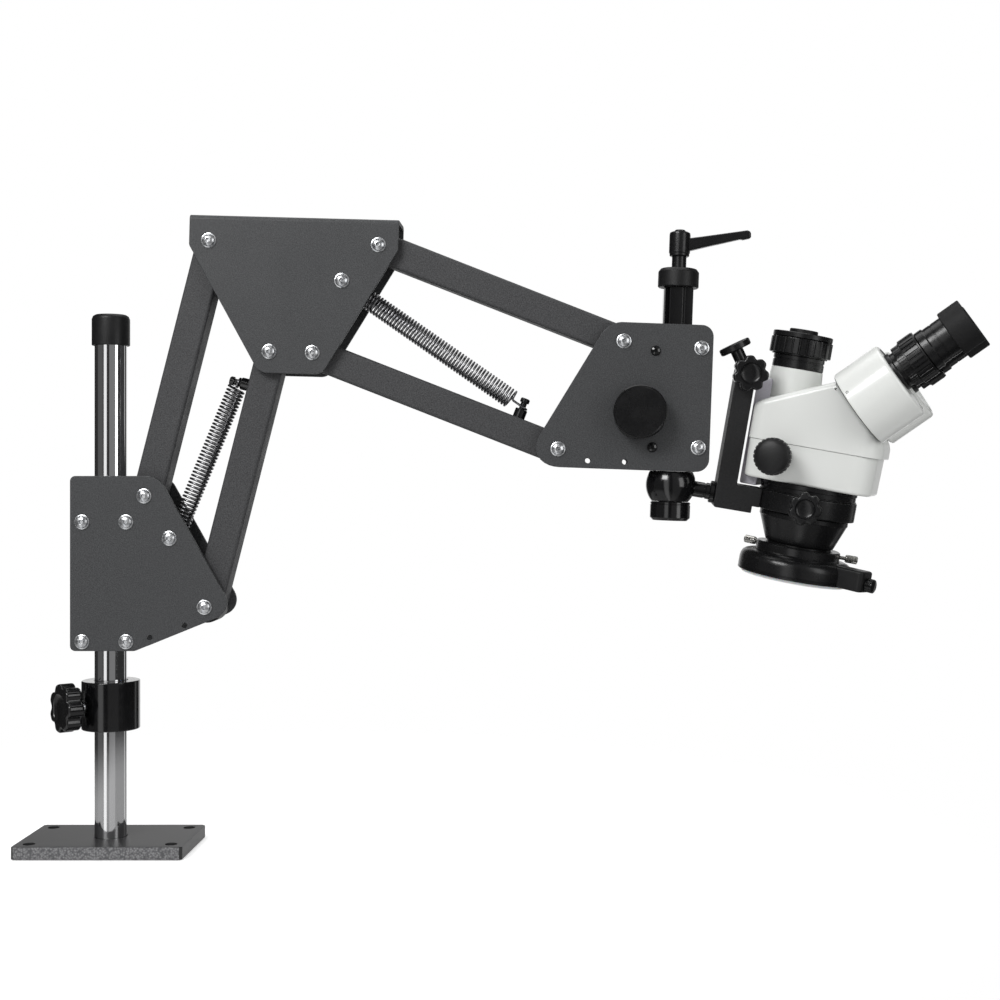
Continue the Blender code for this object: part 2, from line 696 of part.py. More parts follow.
def link(name, start, angle, post_at=None):
    """A box-section link with round capped ends, a cross bush at each pivot and a spring post."""
    axis = frame(name + "_axis", (start[0], 0, start[1]), None, turn_about("Y", -angle))
    half = LINK_WIDTH / 2
    deep = LINK_DEPTH / 2
    section = rounded([(-deep, -half, LINK_CORNER), (deep, -half, LINK_CORNER),
                       (deep, half, LINK_CORNER), (-deep, half, LINK_CORNER)], 2)
    body = add(name, prism_mesh(section, 0, LINK_LENGTH), CHARCOAL, axis, (0, 0, 0), ALONG_X)
    for x in (0, LINK_LENGTH):
        cap = rod_mesh(LINK_END_DIAMETER, -deep - 0.0005, deep + 0.0005, 16)
        fuse(body, add("end_cap", cap, None, axis, (x, 0, 0), TO_VIEWER))
        reach = PLATE_SPACE / 2 - GAP
        bush = rod_mesh(LINK_BUSH_DIAMETER, -reach, reach, 12)
        fuse(body, add("cross_bush", bush, None, axis, (x, 0, 0), TO_VIEWER))
    if post_at:
        top = half + POST_LENGTH
        post = [(0, top + POST_HEAD_LENGTH), (POST_HEAD_DIAMETER / 2, top + POST_HEAD_LENGTH),
                (POST_HEAD_DIAMETER / 2, top), (POST_DIAMETER / 2, top),
                (POST_DIAMETER / 2, half - 0.002), (0, half - 0.002)]
        fuse(body, turned("spring_post", post, None, axis, (post_at, 0, 0), steps=10))
    for x in (0, LINK_LENGTH):
        bore(body, PIVOT_DIAMETER + 2 * GAP, x, 0, axis)


def hook_point(start, angle, along):
    """Where a spring hooks on to the post of a link."""
    foot = on_arm(start, along, angle)
    return on_arm(foot, LINK_WIDTH / 2 + HOOK_HEIGHT, angle + pi / 2)


def ring_path(radius, across, along, start, end, steps):
    """Part of a circle between two directions, about the origin."""
    path = []
    for i in range(steps + 1):
        angle = start + (end - start) * i / steps
        path.append(across * (radius * cos(angle)) + along * (radius * sin(angle)))
    return path


def spring(name, hook, anchor, link_angle, turns):
    """A tension spring: a loop round the post, and the coil with its hook round the bolt."""
    run = Vector((anchor[0] - hook[0], anchor[1] - hook[1]))
    tilt = atan2(run.x, run.y)
    axis = frame(name + "_axis", (hook[0], 0, hook[1]), None, turn_about("Y", tilt))
    length = run.length
    wire = SPRING_WIRE / 2
    # The loop lies across the post; its stem leaves along the link and turns into the spring.
    away = link_angle if cos(link_angle) * run.x + sin(link_angle) * run.y > 0 else link_angle + pi
    lean = pi / 2 - tilt - away
    outward = Vector((sin(lean), 0, cos(lean)))
    eye = POST_DIAMETER / 2 + GAP + wire
    path = ring_path(eye, outward, Vector((0, 1, 0)), radians(60), radians(360), 10)
    path += [Vector((0, 0, SPRING_TAIL * 0.8)), Vector((0, 0, SPRING_TAIL + 0.006))]
    add(name + "_loop", wire_mesh(path, SPRING_WIRE), SPRING_STEEL, axis)
    # The coil starts small round the stem, runs up to size, and closes in at the far end.
    middle = SPRING_DIAMETER / 2 - wire
    small = 2 * wire + GAP * 2
    first = SPRING_TAIL + wire
    last = length - SPRING_TAIL
    rise = (last - first) / turns
    path = []
    for i in range(turns * SPRING_STEPS + 1):
        angle = 2 * pi * i / SPRING_STEPS
        radius = small + (middle - small) * min(1.0, i / SPRING_STEPS)
        path.append(Vector((radius * cos(angle), radius * sin(angle), first + rise * i / SPRING_STEPS)))
    bolt_eye = FIXED_BOLT_DIAMETER / 2 + GAP + wire
    path += [Vector((middle * 0.45, 0, last + 0.0025)), Vector((0, 0, last + 0.0045))]
    hook_ring = ring_path(bolt_eye, Vector((0, 0, -1)), Vector((1, 0, 0)), radians(15), radians(310), 9)
    path += [point + Vector((0, 0, length)) for point in hook_ring]
    add(name + "_coil", wire_mesh(path, SPRING_WIRE), SPRING_STEEL, axis)


def knee():
    axis = frame("knee_axis", (PIVOT_C[0], 0, PIVOT_C[1]), None, turn_about("Y", KNEE_SAG))
    half = KNEE_HALF_WIDTH
    middle = KNEE_PIVOT_SPAN / 2
    low = -KNEE_BOTTOM - 0.01
    bend = KNEE_BEND_RADIUS
    inner = PLATE_SPACE / 2
    under = KNEE_TOP - PLATE_THICKNESS
    fold = rounded([(-PLATE_FACE, low, 0), (-PLATE_FACE, KNEE_TOP, bend), (PLATE_FACE, KNEE_TOP, bend),
                    (PLATE_FACE, low, 0), (inner, low, 0), (inner, under, 0.0008),
                    (-inner, under, 0.0008), (-inner, low, 0)], 3)
    housing = add("knee_housing", prism_mesh(fold, middle - half - 0.01, middle + half + 0.01), CHARCOAL,
                  axis, (0, 0, 0), ALONG_X)
    above = KNEE_TOP + 0.01
    side = rounded([(middle - half, above, 0), (middle - half, -KNEE_SIDE_DROP, 0.006),
                    (middle - KNEE_BOTTOM_HALF, -KNEE_BOTTOM, 0.012),
                    (middle + KNEE_BOTTOM_HALF, -KNEE_BOTTOM, 0.012),
                    (middle + half, -KNEE_SIDE_DROP, 0.006), (middle + half, above, 0)])
    combine(housing, plate("side_outline", side, None, axis, 0, 0.08), "INTERSECT")
    pivots = (("pivot_bolt_c", (0, 0)), ("pivot_bolt_d", KNEE_D),
              ("pivot_bolt_e", (KNEE_PIVOT_SPAN, 0)), ("pivot_bolt_f", KNEE_F))
    for name, (x, z) in pivots:
        bore(housing, PIVOT_DIAMETER + 2 * GAP, x, z, axis)
        pivot_bolt(name, axis, x, z)
    sunk = PLATE_FACE - GAP
    fuse(housing, bolt("fixed_bolt", axis, *UPPER_SPRING_ANCHOR, FIXED_BOLT_DIAMETER, sunk, sunk))


def column_bar(axis):
    """The dovetailed bar with its grooves and its rack."""
    depth = COLUMN_DEPTH / 2
    shoulder = COLUMN_SHOULDER
    groove = COLUMN_GROOVE_WIDTH / 2
    floor = depth - COLUMN_GROOVE_DEPTH
    half = [(COLUMN_LEFT, DOVETAIL_WIDE / 2), (shoulder, DOVETAIL_NARROW / 2), (shoulder, depth),
            (COLUMN_GROOVE_X - groove, depth), (COLUMN_GROOVE_X - groove, floor),
            (COLUMN_GROOVE_X + groove, floor), (COLUMN_GROOVE_X + groove, depth), (COLUMN_RIGHT, depth)]
    outline = half + [(x, -y) for x, y in reversed(half)]
    bar = add("column_bar", prism_mesh(outline, -HEAD_BOTTOM, COLUMN_TOP), CHROME, axis)
    pitch = pi * GEAR_MODULE
    line = PINION_X + PINION_TEETH * GEAR_MODULE / 2
    slope = tan(radians(20))
    half_tooth = pitch / 4 - BACKLASH / 2
    root = half_tooth + GEAR_ROOT * slope
    tip = half_tooth - GEAR_TIP * slope
    teeth = []
    for k in range(RACK_TEETH):
        z = PINION_Z + (k + 0.5 - RACK_TEETH_BELOW) * pitch
        teeth += [(line + GEAR_ROOT, z - root), (line - GEAR_TIP, z - tip),
                  (line - GEAR_TIP, z + tip), (line + GEAR_ROOT, z + root)]
    back = COLUMN_LEFT + 0.001
    teeth += [(back, teeth[-1][1]), (back, teeth[0][1])]
    fuse(bar, plate("rack", teeth, None, axis, 0, GEAR_WIDTH))


def gear_outline():
    """A sixteen-tooth involute pinion with a tooth pointing along +X."""
    pitch_radius = PINION_TEETH * GEAR_MODULE / 2
    base = pitch_radius * cos(radians(20))
    half_tooth = (pi * GEAR_MODULE / 4 - BACKLASH / 2) / pitch_radius

    def half_angle(radius):
        pressure = acos(base / max(radius, base))
        return half_tooth + tan(radians(20)) - radians(20) - (tan(pressure) - pressure)

    radii = (pitch_radius - GEAR_ROOT, base, pitch_radius, pitch_radius + GEAR_TIP)
    outline = []
    for tooth in range(PINION_TEETH):
        middle = 2 * pi * tooth / PINION_TEETH
        flank = [(radius, middle - half_angle(radius)) for radius in radii]
        flank += [(radius, middle + half_angle(radius)) for radius in reversed(radii)]
        outline += [(radius * cos(angle), radius * sin(angle)) for radius, angle in flank]
    return outline


def focus_knobs(axis):
    """Both hand knobs; the front one carries the shaft and the pinion."""
    radius = FOCUS_KNOB_DIAMETER / 2
    shaft = FOCUS_SHAFT_DIAMETER / 2
    back = PLATE_FACE + FOCUS_KNOB_STANDOFF
    face = back + FOCUS_KNOB_THICKNESS
    edge = 0.0015
    place = (PINION_X, 0, PINION_Z)
    rim = [(radius - edge, face), (radius, face - edge), (radius, back + edge), (radius - edge, back)]
    front = turned("focus_knob_front", [(0, face)] + rim + [(shaft, back), (shaft, -face + edge),
                                                           (0, -face + edge)],
                   SATIN_BLACK, axis, place, TO_VIEWER, steps=20)
    pinion = prism_mesh(gear_outline(), -GEAR_WIDTH / 2, GEAR_WIDTH / 2)
    fuse(front, add("pinion", pinion, None, axis, place, TO_VIEWER))
    turned("focus_knob_back", rim + [(shaft + GAP, back), (shaft + GAP, face)],
           SATIN_BLACK, axis, place, TO_BACK, closed=True, steps=20)


def focus_block(axis):
    """The block between the head plates that holds the pinion and guides the column."""
    slope = (DOVETAIL_WIDE - DOVETAIL_NARROW) / 2 / DOVETAIL_LENGTH
    clear = GAP * sqrt(1 + slope * slope)
    pocket = COLUMN_LEFT - GAP
    jaw = COLUMN_SHOULDER - FOCUS_JAW_SPACE
    wide = DOVETAIL_WIDE / 2 + clear + GAP * slope
    narrow = DOVETAIL_WIDE / 2 + clear - (jaw - COLUMN_LEFT) * slope
    side = PLATE_SPACE / 2 - GAP
    slot = FOCUS_SLOT_WIDTH / 2
    half = [(FOCUS_BLOCK_LEFT, side), (jaw, side), (jaw, narrow), (pocket, wide), (pocket, slot),
            (FOCUS_SLOT_LEFT, slot)]
    outline = half + [(x, -y) for x, y in reversed(half)]
    block = add("focus_block", prism_mesh(outline, FOCUS_BLOCK_BOTTOM, FOCUS_BLOCK_TOP), CHARCOAL, axis)
    notch = box_mesh((-0.01, -0.03, FOCUS_BLOCK_NOTCH[1]), (FOCUS_BLOCK_NOTCH[0], 0.03, 0.02))
    cut(block, add("notch", notch, None, axis))
    bore(block, FOCUS_SHAFT_DIAMETER + 2 * GAP, PINION_X, PINION_Z, axis)


def column_cap_and_lever(axis):
    radius = COLUMN_CAP_DIAMETER / 2
    low = COLUMN_TOP + GAP
    high = low + COLUMN_CAP_HEIGHT
    spigot = LEVER_SPIGOT_DIAMETER / 2 + GAP
    seat = high - LEVER_SPIGOT_LENGTH - GAP
    turned("column_cap", [(spigot, high), (radius - 0.003, high), (radius, high - 0.0028), (radius, low),
                          (0, low), (0, seat), (spigot, seat)], SATIN_BLACK, axis, (COLUMN_X, 0, 0),
           closed=True, steps=20)
    foot = high + GAP
    under = foot + LEVER_STEM_HEIGHT
    top = under + LEVER_HUB_HEIGHT
    hub = LEVER_HUB_DIAMETER / 2
    stem = LEVER_STEM_DIAMETER / 2
    profile = [(0, top + 0.002), (0.0052, top + 0.002), (0.0052, top), (hub - 0.0015, top),
               (hub, top - 0.0015), (hub, under), (stem, under), (stem, foot),
               (LEVER_SPIGOT_DIAMETER / 2, foot), (LEVER_SPIGOT_DIAMETER / 2, seat + GAP), (0, seat + GAP)]
    lever = turned("clamp_lever", profile, SATIN_BLACK, axis, (COLUMN_X, 0, 0), steps=14)
    tip = LEVER_TIP_DIAMETER / 2
    arm = [(0, LEVER_REACH), (tip * 0.7, LEVER_REACH - 0.0008), (tip, LEVER_REACH - 0.003),
           (LEVER_ROOT_DIAMETER / 2, 0.004), (0, 0.004)]
    middle = under + LEVER_HUB_HEIGHT * 0.42
    fuse(lever, turned("arm", arm, None, axis, (COLUMN_X, 0, middle),
                       turn_about("Y", pi / 2 - LEVER_RISE), steps=12))


def head():
    axis = frame("head_axis", (PIVOT_G[0], 0, PIVOT_G[1]), None, turn_about("Y", HEAD_SAG))
    corners = [(HEAD_SLANT_TOP, HEAD_TOP, 0.022), (HEAD_SLANT_BOTTOM, -HEAD_BOTTOM, 0.021),
               (HEAD_RIGHT, -HEAD_BOTTOM, 0.012), (HEAD_RIGHT, HEAD_TOP, 0.011)]
    front = plate("head_plate_front", rounded(corners, 5), CHARCOAL, axis, -PLATE_MIDDLE)
    back = plate("head_plate_back", rounded(corners, 5), CHARCOAL, axis, PLATE_MIDDLE)
    for piece in (front, back):
        for x, z in ((0, 0), HEAD_H):
            bore(piece, PIVOT_DIAMETER + 2 * GAP, x, z, axis)
        bore(piece, FOCUS_SHAFT_DIAMETER + 2 * GAP, PINION_X, PINION_Z, axis)
        for x, z in HEAD_SPARE_HOLES:
            bore(piece, SPARE_HOLE_DIAMETER, x, z, axis, sides=10)
    for z in ROLLER_BOLT_Z:
        bore(back, FIXED_BOLT_DIAMETER + 2 * GAP, ROLLER_BOLT_X, z, axis, sides=10)
        fixed_bolt(front, axis, ROLLER_BOLT_X, z, ROLLER_DIAMETER)
    pivot_bolt("pivot_bolt_g", axis, 0, 0)
    pivot_bolt("pivot_bolt_h", axis, *HEAD_H)
    focus_block(axis)
    focus_knobs(axis)
    column_bar(axis)
    column_cap_and_lever(axis)
    return axis


def ball_joint(head_axis, tilt_axis):
    """The split ball housing under the column, its screwed cap and the ball stud."""
    outer = BALL_HOUSING_DIAMETER / 2
    socket = BALL_DIAMETER / 2 + GAP
    top = BALL_DROP - HEAD_BOTTOM - GAP
    low = GAP - BALL_CAP_START
    shell = arc((0, 0), outer, asin(top / outer), asin(low / outer), 8)
    inside = arc((0, 0), socket, 0, pi / 2, 5)
    place = (COLUMN_X, 0, -BALL_DROP)
    housing = turned("ball_housing", [(0, top)] + shell + [(socket, low)] + inside[:-1] + [(0, socket)],
                     CHROME, head_axis, place, steps=20)
    slot = box_mesh((0, -BALL_SLOT_WIDTH / 2, -0.03), (0.04, BALL_SLOT_WIDTH / 2, BALL_SLOT_RISE))
    cut(housing, add("stud_slot", slot, None, head_axis, place))
    cap = BALL_CAP_DIAMETER / 2
    foot = -BALL_CAP_START - BALL_CAP_HEIGHT
    plug = -BALL_DIAMETER / 2 - GAP
    turned("ball_cap", [(0, plug), (socket - GAP, plug), (socket - GAP, -BALL_CAP_START),
                        (cap, -BALL_CAP_START), (cap, foot + 0.0025), (cap - 0.0025, foot), (0, foot)],
           SATIN_BLACK, head_axis, place, steps=20)
    ball = BALL_DIAMETER / 2
    neck = STUD_DIAMETER / 2
    face = RING_REACH + ARM_OUTER - GAP
    nut = STUD_NUT_DIAMETER / 2
    end = STUD_END_DIAMETER / 2
    back = face - STUD_NUT_THICKNESS
    sphere = arc((0, 0), ball, acos(neck / ball), -pi / 2, 8)
    turned("ball_stud", [(0, face + STUD_END_LENGTH), (end, face + STUD_END_LENGTH), (end, face),
                         (nut, face), (nut, back), (neck, back)] + sphere[:-1] + [(0, -ball)],
           CHROME, tilt_axis, (0, 0, 0), TO_RIGHT, steps=18)


def scope_bracket(ring_axis):
    """The upright arm, its foot and the ring that holds the microscope."""
    hub_x, hub_z = ARM_HUB
    foot_end = -RING_BORE / 2 - 0.003
    clear = -CONE_TOP_DIAMETER / 2 - 0.002
    under = -RING_HEIGHT / 2
    outline = rounded([(ARM_OUTER, ARM_FOOT_BOTTOM, 0.004), (clear, ARM_FOOT_BOTTOM, 0),
                       (clear, under, 0), (foot_end, under, 0), (foot_end, ARM_FOOT_TOP, 0), (ARM_INNER, ARM_FOOT_TOP, 0.003),
                       (ARM_INNER, hub_z, 0), (ARM_OUTER, hub_z, 0)], 4)
    bracket = plate("scope_bracket", outline, SATIN_BLACK, ring_axis, 0, ARM_DEPTH)
    outer = RING_DIAMETER / 2
    inner = RING_BORE / 2
    half = RING_HEIGHT / 2
    hub = rod_mesh(ARM_HUB_DIAMETER, -ARM_DEPTH / 2, ARM_DEPTH / 2, 18)
    fuse(bracket, add("hub", hub, None, ring_axis, (hub_x, 0, hub_z), TO_VIEWER))
    fuse(bracket, add("ring", rod_mesh(RING_DIAMETER, -half, half, 28), None, ring_axis))
    cut(bracket, add("ring_bore", rod_mesh(2 * inner, -0.03, 0.03, 28), None, ring_axis))
    stud = frame("stud_axis", (ARM_OUTER, 0, -RING_RISE), ring_axis, TO_RIGHT)
    screw_way(bracket, STUD_END_DIAMETER, stud, -0.01, STUD_END_LENGTH + GAP)
    star = frame("bracket_star_axis", (hub_x, 0, hub_z), ring_axis, TO_VIEWER)
    surface = ARM_DEPTH / 2
    screw_way(bracket, CLAMP_SCREW_DIAMETER, star, surface - CLAMP_SCREW_DEPTH, surface + 0.01)
    star_knob("bracket_star_knob", ARM_KNOB_RADIUS, ARM_KNOB_THICKNESS, star,
              surface + 0.006 + ARM_KNOB_THICKNESS, CLAMP_SCREW_DIAMETER, surface - CLAMP_SCREW_DEPTH + GAP)
    disc = frame("bracket_disc_axis", (hub_x, 0, hub_z), ring_axis, turn_about("Y", -TOP_KNOB_TURN))
    screw_way(bracket, CLAMP_SCREW_DIAMETER, disc, 0.005, 0.03)
    knob = TOP_KNOB_DIAMETER / 2
    face = TOP_KNOB_REACH + TOP_KNOB_THICKNESS / 2
    back = face - TOP_KNOB_THICKNESS
    shank = CLAMP_SCREW_DIAMETER / 2
    turned("bracket_disc_knob", [(0, face), (knob - 0.001, face), (knob, face - 0.001),
                                 (knob, back + 0.001), (knob - 0.001, back), (0.006, back),
                                 (0.006, ARM_HUB_DIAMETER / 2 + 0.001), (shank, ARM_HUB_DIAMETER / 2 + 0.001),
                                 (shank, 0.005 + GAP), (0, 0.005 + GAP)], GLOSS_BLACK, disc, steps=20)
    outward = (-sin(RING_KNOB_TURN), -cos(RING_KNOB_TURN), 0)
    ring_screw = frame("ring_star_axis", (0, 0, 0), ring_axis, facing(outward))
    screw_way(bracket, CLAMP_SCREW_DIAMETER, ring_screw, inner - 0.003, outer + 0.01)
    star_knob("ring_star_knob", RING_KNOB_RADIUS, RING_KNOB_THICKNESS, ring_screw,
              outer + CLAMP_SCREW_STANDOFF + RING_KNOB_THICKNESS, CLAMP_SCREW_DIAMETER, inner + GAP)


def body_outline(front):
    return rounded([(BODY_REAR, -BODY_REAR_HALF, 0.012), (-0.006, -BODY_MID_HALF, 0.06),
                    (front, -BODY_FRONT_HALF, 0.016), (front, BODY_FRONT_HALF, 0.016),
                    (-0.006, BODY_MID_HALF, 0.06), (BODY_REAR, BODY_REAR_HALF, 0.012)], 4)


def slice_off(shape, point, normal):
    """Takes away all that lies above a plane and closes the shape again."""
    everything = shape.verts[:] + shape.edges[:] + shape.faces[:]
    bmesh.ops.bisect_plane(shape, geom=everything, plane_co=point, plane_no=normal, clear_outer=True)
    rim = [edge for edge in shape.edges if edge.is_boundary]
    bmesh.ops.contextual_create(shape, geom=rim)
    bmesh.ops.recalc_face_normals(shape, faces=shape.faces)


def upper_cover(axis):
    """The cover with its sloping roof, its eyepiece face and soft upper edges."""
    shape = prism(body_outline(COVER_FRONT), BODY_SEAM, 0.2)
    peak = (COVER_PEAK_X, 0, COVER_FACE_REACH - COVER_PEAK_X)
    run = COVER_PEAK_X - BODY_REAR
    rise = peak[2] - COVER_REAR_TOP
    slice_off(shape, peak, (-rise, 0, run))
    slice_off(shape, peak, (1, 0, 1))
    shape.normal_update()
    upper = [edge for edge in shape.edges if any(face.normal.z > 0.3 for face in edge.link_faces)]
    bmesh.ops.bevel(shape, geom=upper, offset=COVER_ROUND, segments=3, profile=0.5, affect="EDGES")
    cover = add("upper_cover", finished(shape, "cover"), BODY_WHITE, axis)
    seat = rod_mesh(PORT_TUBE_DIAMETER + 2 * GAP, PORT_SEAT_Z, 0.2, 24)
    cut(cover, add("port_seat", seat, None, axis, (PORT_X, 0, 0)))
    return cover


def microscope_body(axis):
    lower = add("scope_lower_body", prism_mesh(body_outline(BODY_FRONT), BODY_BOTTOM, BODY_SEAM - GAP),
                BODY_WHITE, axis)
    bore_mesh = rod_mesh(ZOOM_SHAFT_DIAMETER + 2 * GAP, -0.08, 0.08)
    cut(lower, add("zoom_bore", bore_mesh, None, axis, (ZOOM_X, 0, ZOOM_Z), TO_VIEWER))
    neck = RING_BORE / 2 - 0.0005
    flange = FLANGE_DIAMETER / 2
    path = LIGHT_PATH_DIAMETER / 2
    seat = RING_HEIGHT / 2 + GAP
    turned("mount_flange", [(flange, BODY_BOTTOM - GAP), (flange, seat), (neck, seat), (neck, -seat),
                            (path, -seat), (path, BODY_BOTTOM - GAP)], SATIN_BLACK, axis,
           closed=True, steps=26)
    band = CONE_START - CONE_BAND
    foot = CONE_START - CONE_LENGTH
    tip = CONE_FOOT_DIAMETER / 2
    lens = LENS_DIAMETER / 2
    turned("objective_cone", [(0, CONE_START), (CONE_TOP_DIAMETER / 2, CONE_START),
                              (CONE_TOP_DIAMETER / 2, band), (CONE_SHOULDER_DIAMETER / 2, foot),
                              (tip, foot - 0.001), (tip, OBJECTIVE_BOTTOM), (lens, OBJECTIVE_BOTTOM),
                              (lens, OBJECTIVE_BOTTOM + LENS_RECESS), (0, OBJECTIVE_BOTTOM + LENS_RECESS)],
           SATIN_BLACK, axis, steps=26)


def rear_spine(axis):
    """The pale strip up the back that wraps round the foot of the third tube."""
    slope = (COVER_FACE_REACH - COVER_PEAK_X - COVER_REAR_TOP) / (COVER_PEAK_X - BODY_REAR)
    front = BODY_REAR - GAP
    roof = COVER_REAR_TOP + 2 * GAP
    profile = [(SPINE_REAR, SPINE_BOTTOM), (SPINE_FOOT_FRONT, SPINE_BOTTOM),
               (SPINE_FOOT_FRONT, BODY_BOTTOM - GAP), (front, BODY_BOTTOM - GAP), (front, roof),
               (SPINE_TOP_FRONT, roof + slope * (SPINE_TOP_FRONT - front)),
               (SPINE_TOP_FRONT, SPINE_TOP - 0.004), (SPINE_TOP_FRONT - 0.006, SPINE_TOP),
               (SPINE_REAR + 0.006, SPINE_TOP - 0.003), (SPINE_REAR, SPINE_TOP - 0.012)]
    spine = plate("rear_spine", profile, SPINE_GREY, axis, 0, SPINE_WIDTH)
    way = rod_mesh(PORT_TUBE_DIAMETER + 2 * GAP, COVER_REAR_TOP - 0.002, 0.2, 24)
    cut(spine, add("tube_way", way, None, axis, (PORT_X, 0, 0)))


def third_port(axis):
    place = (PORT_X, 0, 0)
    bore_radius = PORT_BORE / 2
    foot = PORT_TUBE_DIAMETER / 2
    top = PORT_TUBE_TOP_DIAMETER / 2
    low = PORT_SEAT_Z + GAP
    turned("trinocular_tube", [(top, PORT_TUBE_TOP), (foot, PORT_TUBE_TOP - 0.022), (foot, low),
                               (bore_radius, low), (bore_radius, PORT_TUBE_TOP)], BODY_WHITE, axis, place,
           closed=True, steps=24)
    collar = PORT_COLLAR_DIAMETER / 2
    neck = PORT_NECK_DIAMETER / 2
    neck_top = PORT_RING_TOP - GAP
    turned("port_tube", [(neck, neck_top), (neck, PORT_COLLAR_TOP), (collar, PORT_COLLAR_TOP),
                         (collar, PORT_TUBE_TOP + GAP), (bore_radius, PORT_TUBE_TOP + GAP),
                         (bore_radius, neck_top)], SATIN_BLACK, axis, place, closed=True, steps=24)
    ring_outline = lobed(PORT_RING_DIAMETER / 2, 24, 0.0008, 4)
    ring = add("port_ring", prism_mesh(ring_outline, PORT_COLLAR_TOP + GAP, PORT_RING_TOP), SATIN_BLACK,
               axis, place)
    way = rod_mesh(PORT_NECK_DIAMETER + 2 * GAP, 0.12, 0.18, 24)
    cut(ring, add("ring_way", way, None, axis, place))
    cap = PORT_CAP_DIAMETER / 2
    turned("port_cap", [(0, PORT_CAP_TOP), (cap - 0.0006, PORT_CAP_TOP), (cap, PORT_CAP_TOP - 0.0006),
                        (cap, PORT_RING_TOP + GAP), (bore_radius - GAP, PORT_RING_TOP + GAP),
                        (bore_radius - GAP, PORT_RING_TOP - PORT_PLUG_DEPTH),
                        (0, PORT_RING_TOP - PORT_PLUG_DEPTH)], SATIN_BLACK, axis, place, steps=18)


def eyepiece_side(axis, cover, side, label):
    """One drum with its tube, its dioptre ring and its eyepiece."""
    reach = COVER_FACE_REACH + GAP * sqrt(2)
    place = ((reach - DRUM_RISE) / 2, side * DRUM_OFFSET, (reach + DRUM_RISE) / 2)
    drum_axis = frame("drum_axis_" + label, place, axis, turn_about("Y", EYE_ANGLE))
    radius = DRUM_DIAMETER / 2
    pivot = DRUM_PIVOT_DIAMETER / 2
    edge = 0.0015
    drum = turned("eyepiece_drum_" + label, [(0, DRUM_LENGTH), (radius - edge, DRUM_LENGTH),
                                            (radius, DRUM_LENGTH - edge), (radius, edge),
                                            (radius - edge, 0), (pivot, 0), (pivot, -DRUM_PIVOT_LENGTH),
                                            (0, -DRUM_PIVOT_LENGTH)], SATIN_BLACK, drum_axis, steps=26)
    seat = rod_mesh(DRUM_PIVOT_DIAMETER + 2 * GAP, -DRUM_PIVOT_LENGTH - GAP, 0.02, 16)
    cut(cover, add("drum_seat", seat, None, drum_axis))
    eye_axis = frame("eye_axis_" + label, (-EYE_RAISE, -side * EYE_INSET, DRUM_LENGTH), drum_axis)
    tube = rod_mesh(EYE_TUBE_DIAMETER, -0.002, EYE_TUBE_LENGTH, 20)
    fuse(drum, add("eye_tube", tube, None, eye_axis))
    hollow = rod_mesh(EYE_BORE_DIAMETER, -0.004, EYE_TUBE_LENGTH + 0.01, 20)
    cut(drum, add("eye_bore", hollow, None, eye_axis))
    knurl = lobed(DIOPTER_DIAMETER / 2, 20, 0.0009, 4)
    ring = add("diopter_ring_" + label, prism_mesh(knurl, DIOPTER_START + DIOPTER_SKIRT, DIOPTER_END),
               SATIN_BLACK, eye_axis)
    skirt = rod_mesh(DIOPTER_SKIRT_DIAMETER, DIOPTER_START, DIOPTER_END - 0.002, 20)
    fuse(ring, add("skirt", skirt, None, eye_axis))
    way = rod_mesh(EYE_TUBE_DIAMETER + 2 * GAP, 0, 0.04, 20)
    cut(ring, add("ring_way", way, None, eye_axis))
    start = max(DIOPTER_END, EYE_TUBE_LENGTH) + GAP
    shoulder_top = start + EYEPIECE_SHOULDER
    cup_foot = shoulder_top + EYEPIECE_BARREL
    top = cup_foot + EYECUP_LENGTH
    cup = EYECUP_DIAMETER / 2
    hole = cup - EYECUP_WALL
    shoulder = EYEPIECE_SHOULDER_DIAMETER / 2
    barrel = EYEPIECE_BARREL_DIAMETER / 2
    spigot = EYE_BORE_DIAMETER / 2 - GAP
    turned("eyepiece_" + label, [(0, top - EYECUP_DEPTH), (hole, top - EYECUP_DEPTH), (hole, top),
                                 (cup - 0.001, top), (cup, top - 0.001), (cup, cup_foot),
                                 (barrel, cup_foot), (barrel, shoulder_top), (shoulder, shoulder_top),
                                 (shoulder, start), (spigot, start), (spigot, start - EYEPIECE_SPIGOT),
                                 (0, start - EYEPIECE_SPIGOT)], RUBBER, eye_axis, steps=20)


def zoom_knobs(axis):
    """The zoom knob pair; the near one carries the cross shaft."""
    radius = ZOOM_KNOB_DIAMETER / 2
    hub = ZOOM_HUB_DIAMETER / 2
    shaft = ZOOM_SHAFT_DIAMETER / 2
    face = ZOOM_KNOB_OUT
    rim_back = face - ZOOM_KNOB_RIM
    back = BODY_MID_HALF + 0.001
    edge = 0.0024
    place = (ZOOM_X, 0, ZOOM_Z)
    outside = [(radius - edge, face), (radius, face - edge), (radius, rim_back), (hub, rim_back), (hub, back)]
    turned("zoom_knob_near", [(0, face)] + outside + [(shaft, back), (shaft, -face + edge),
                                                     (0, -face + edge)],
           SATIN_BLACK, axis, place, TO_VIEWER, steps=20)
    turned("zoom_knob_far", outside + [(shaft + GAP, back), (shaft + GAP, face)],
           SATIN_BLACK, axis, place, TO_BACK, closed=True, steps=20)


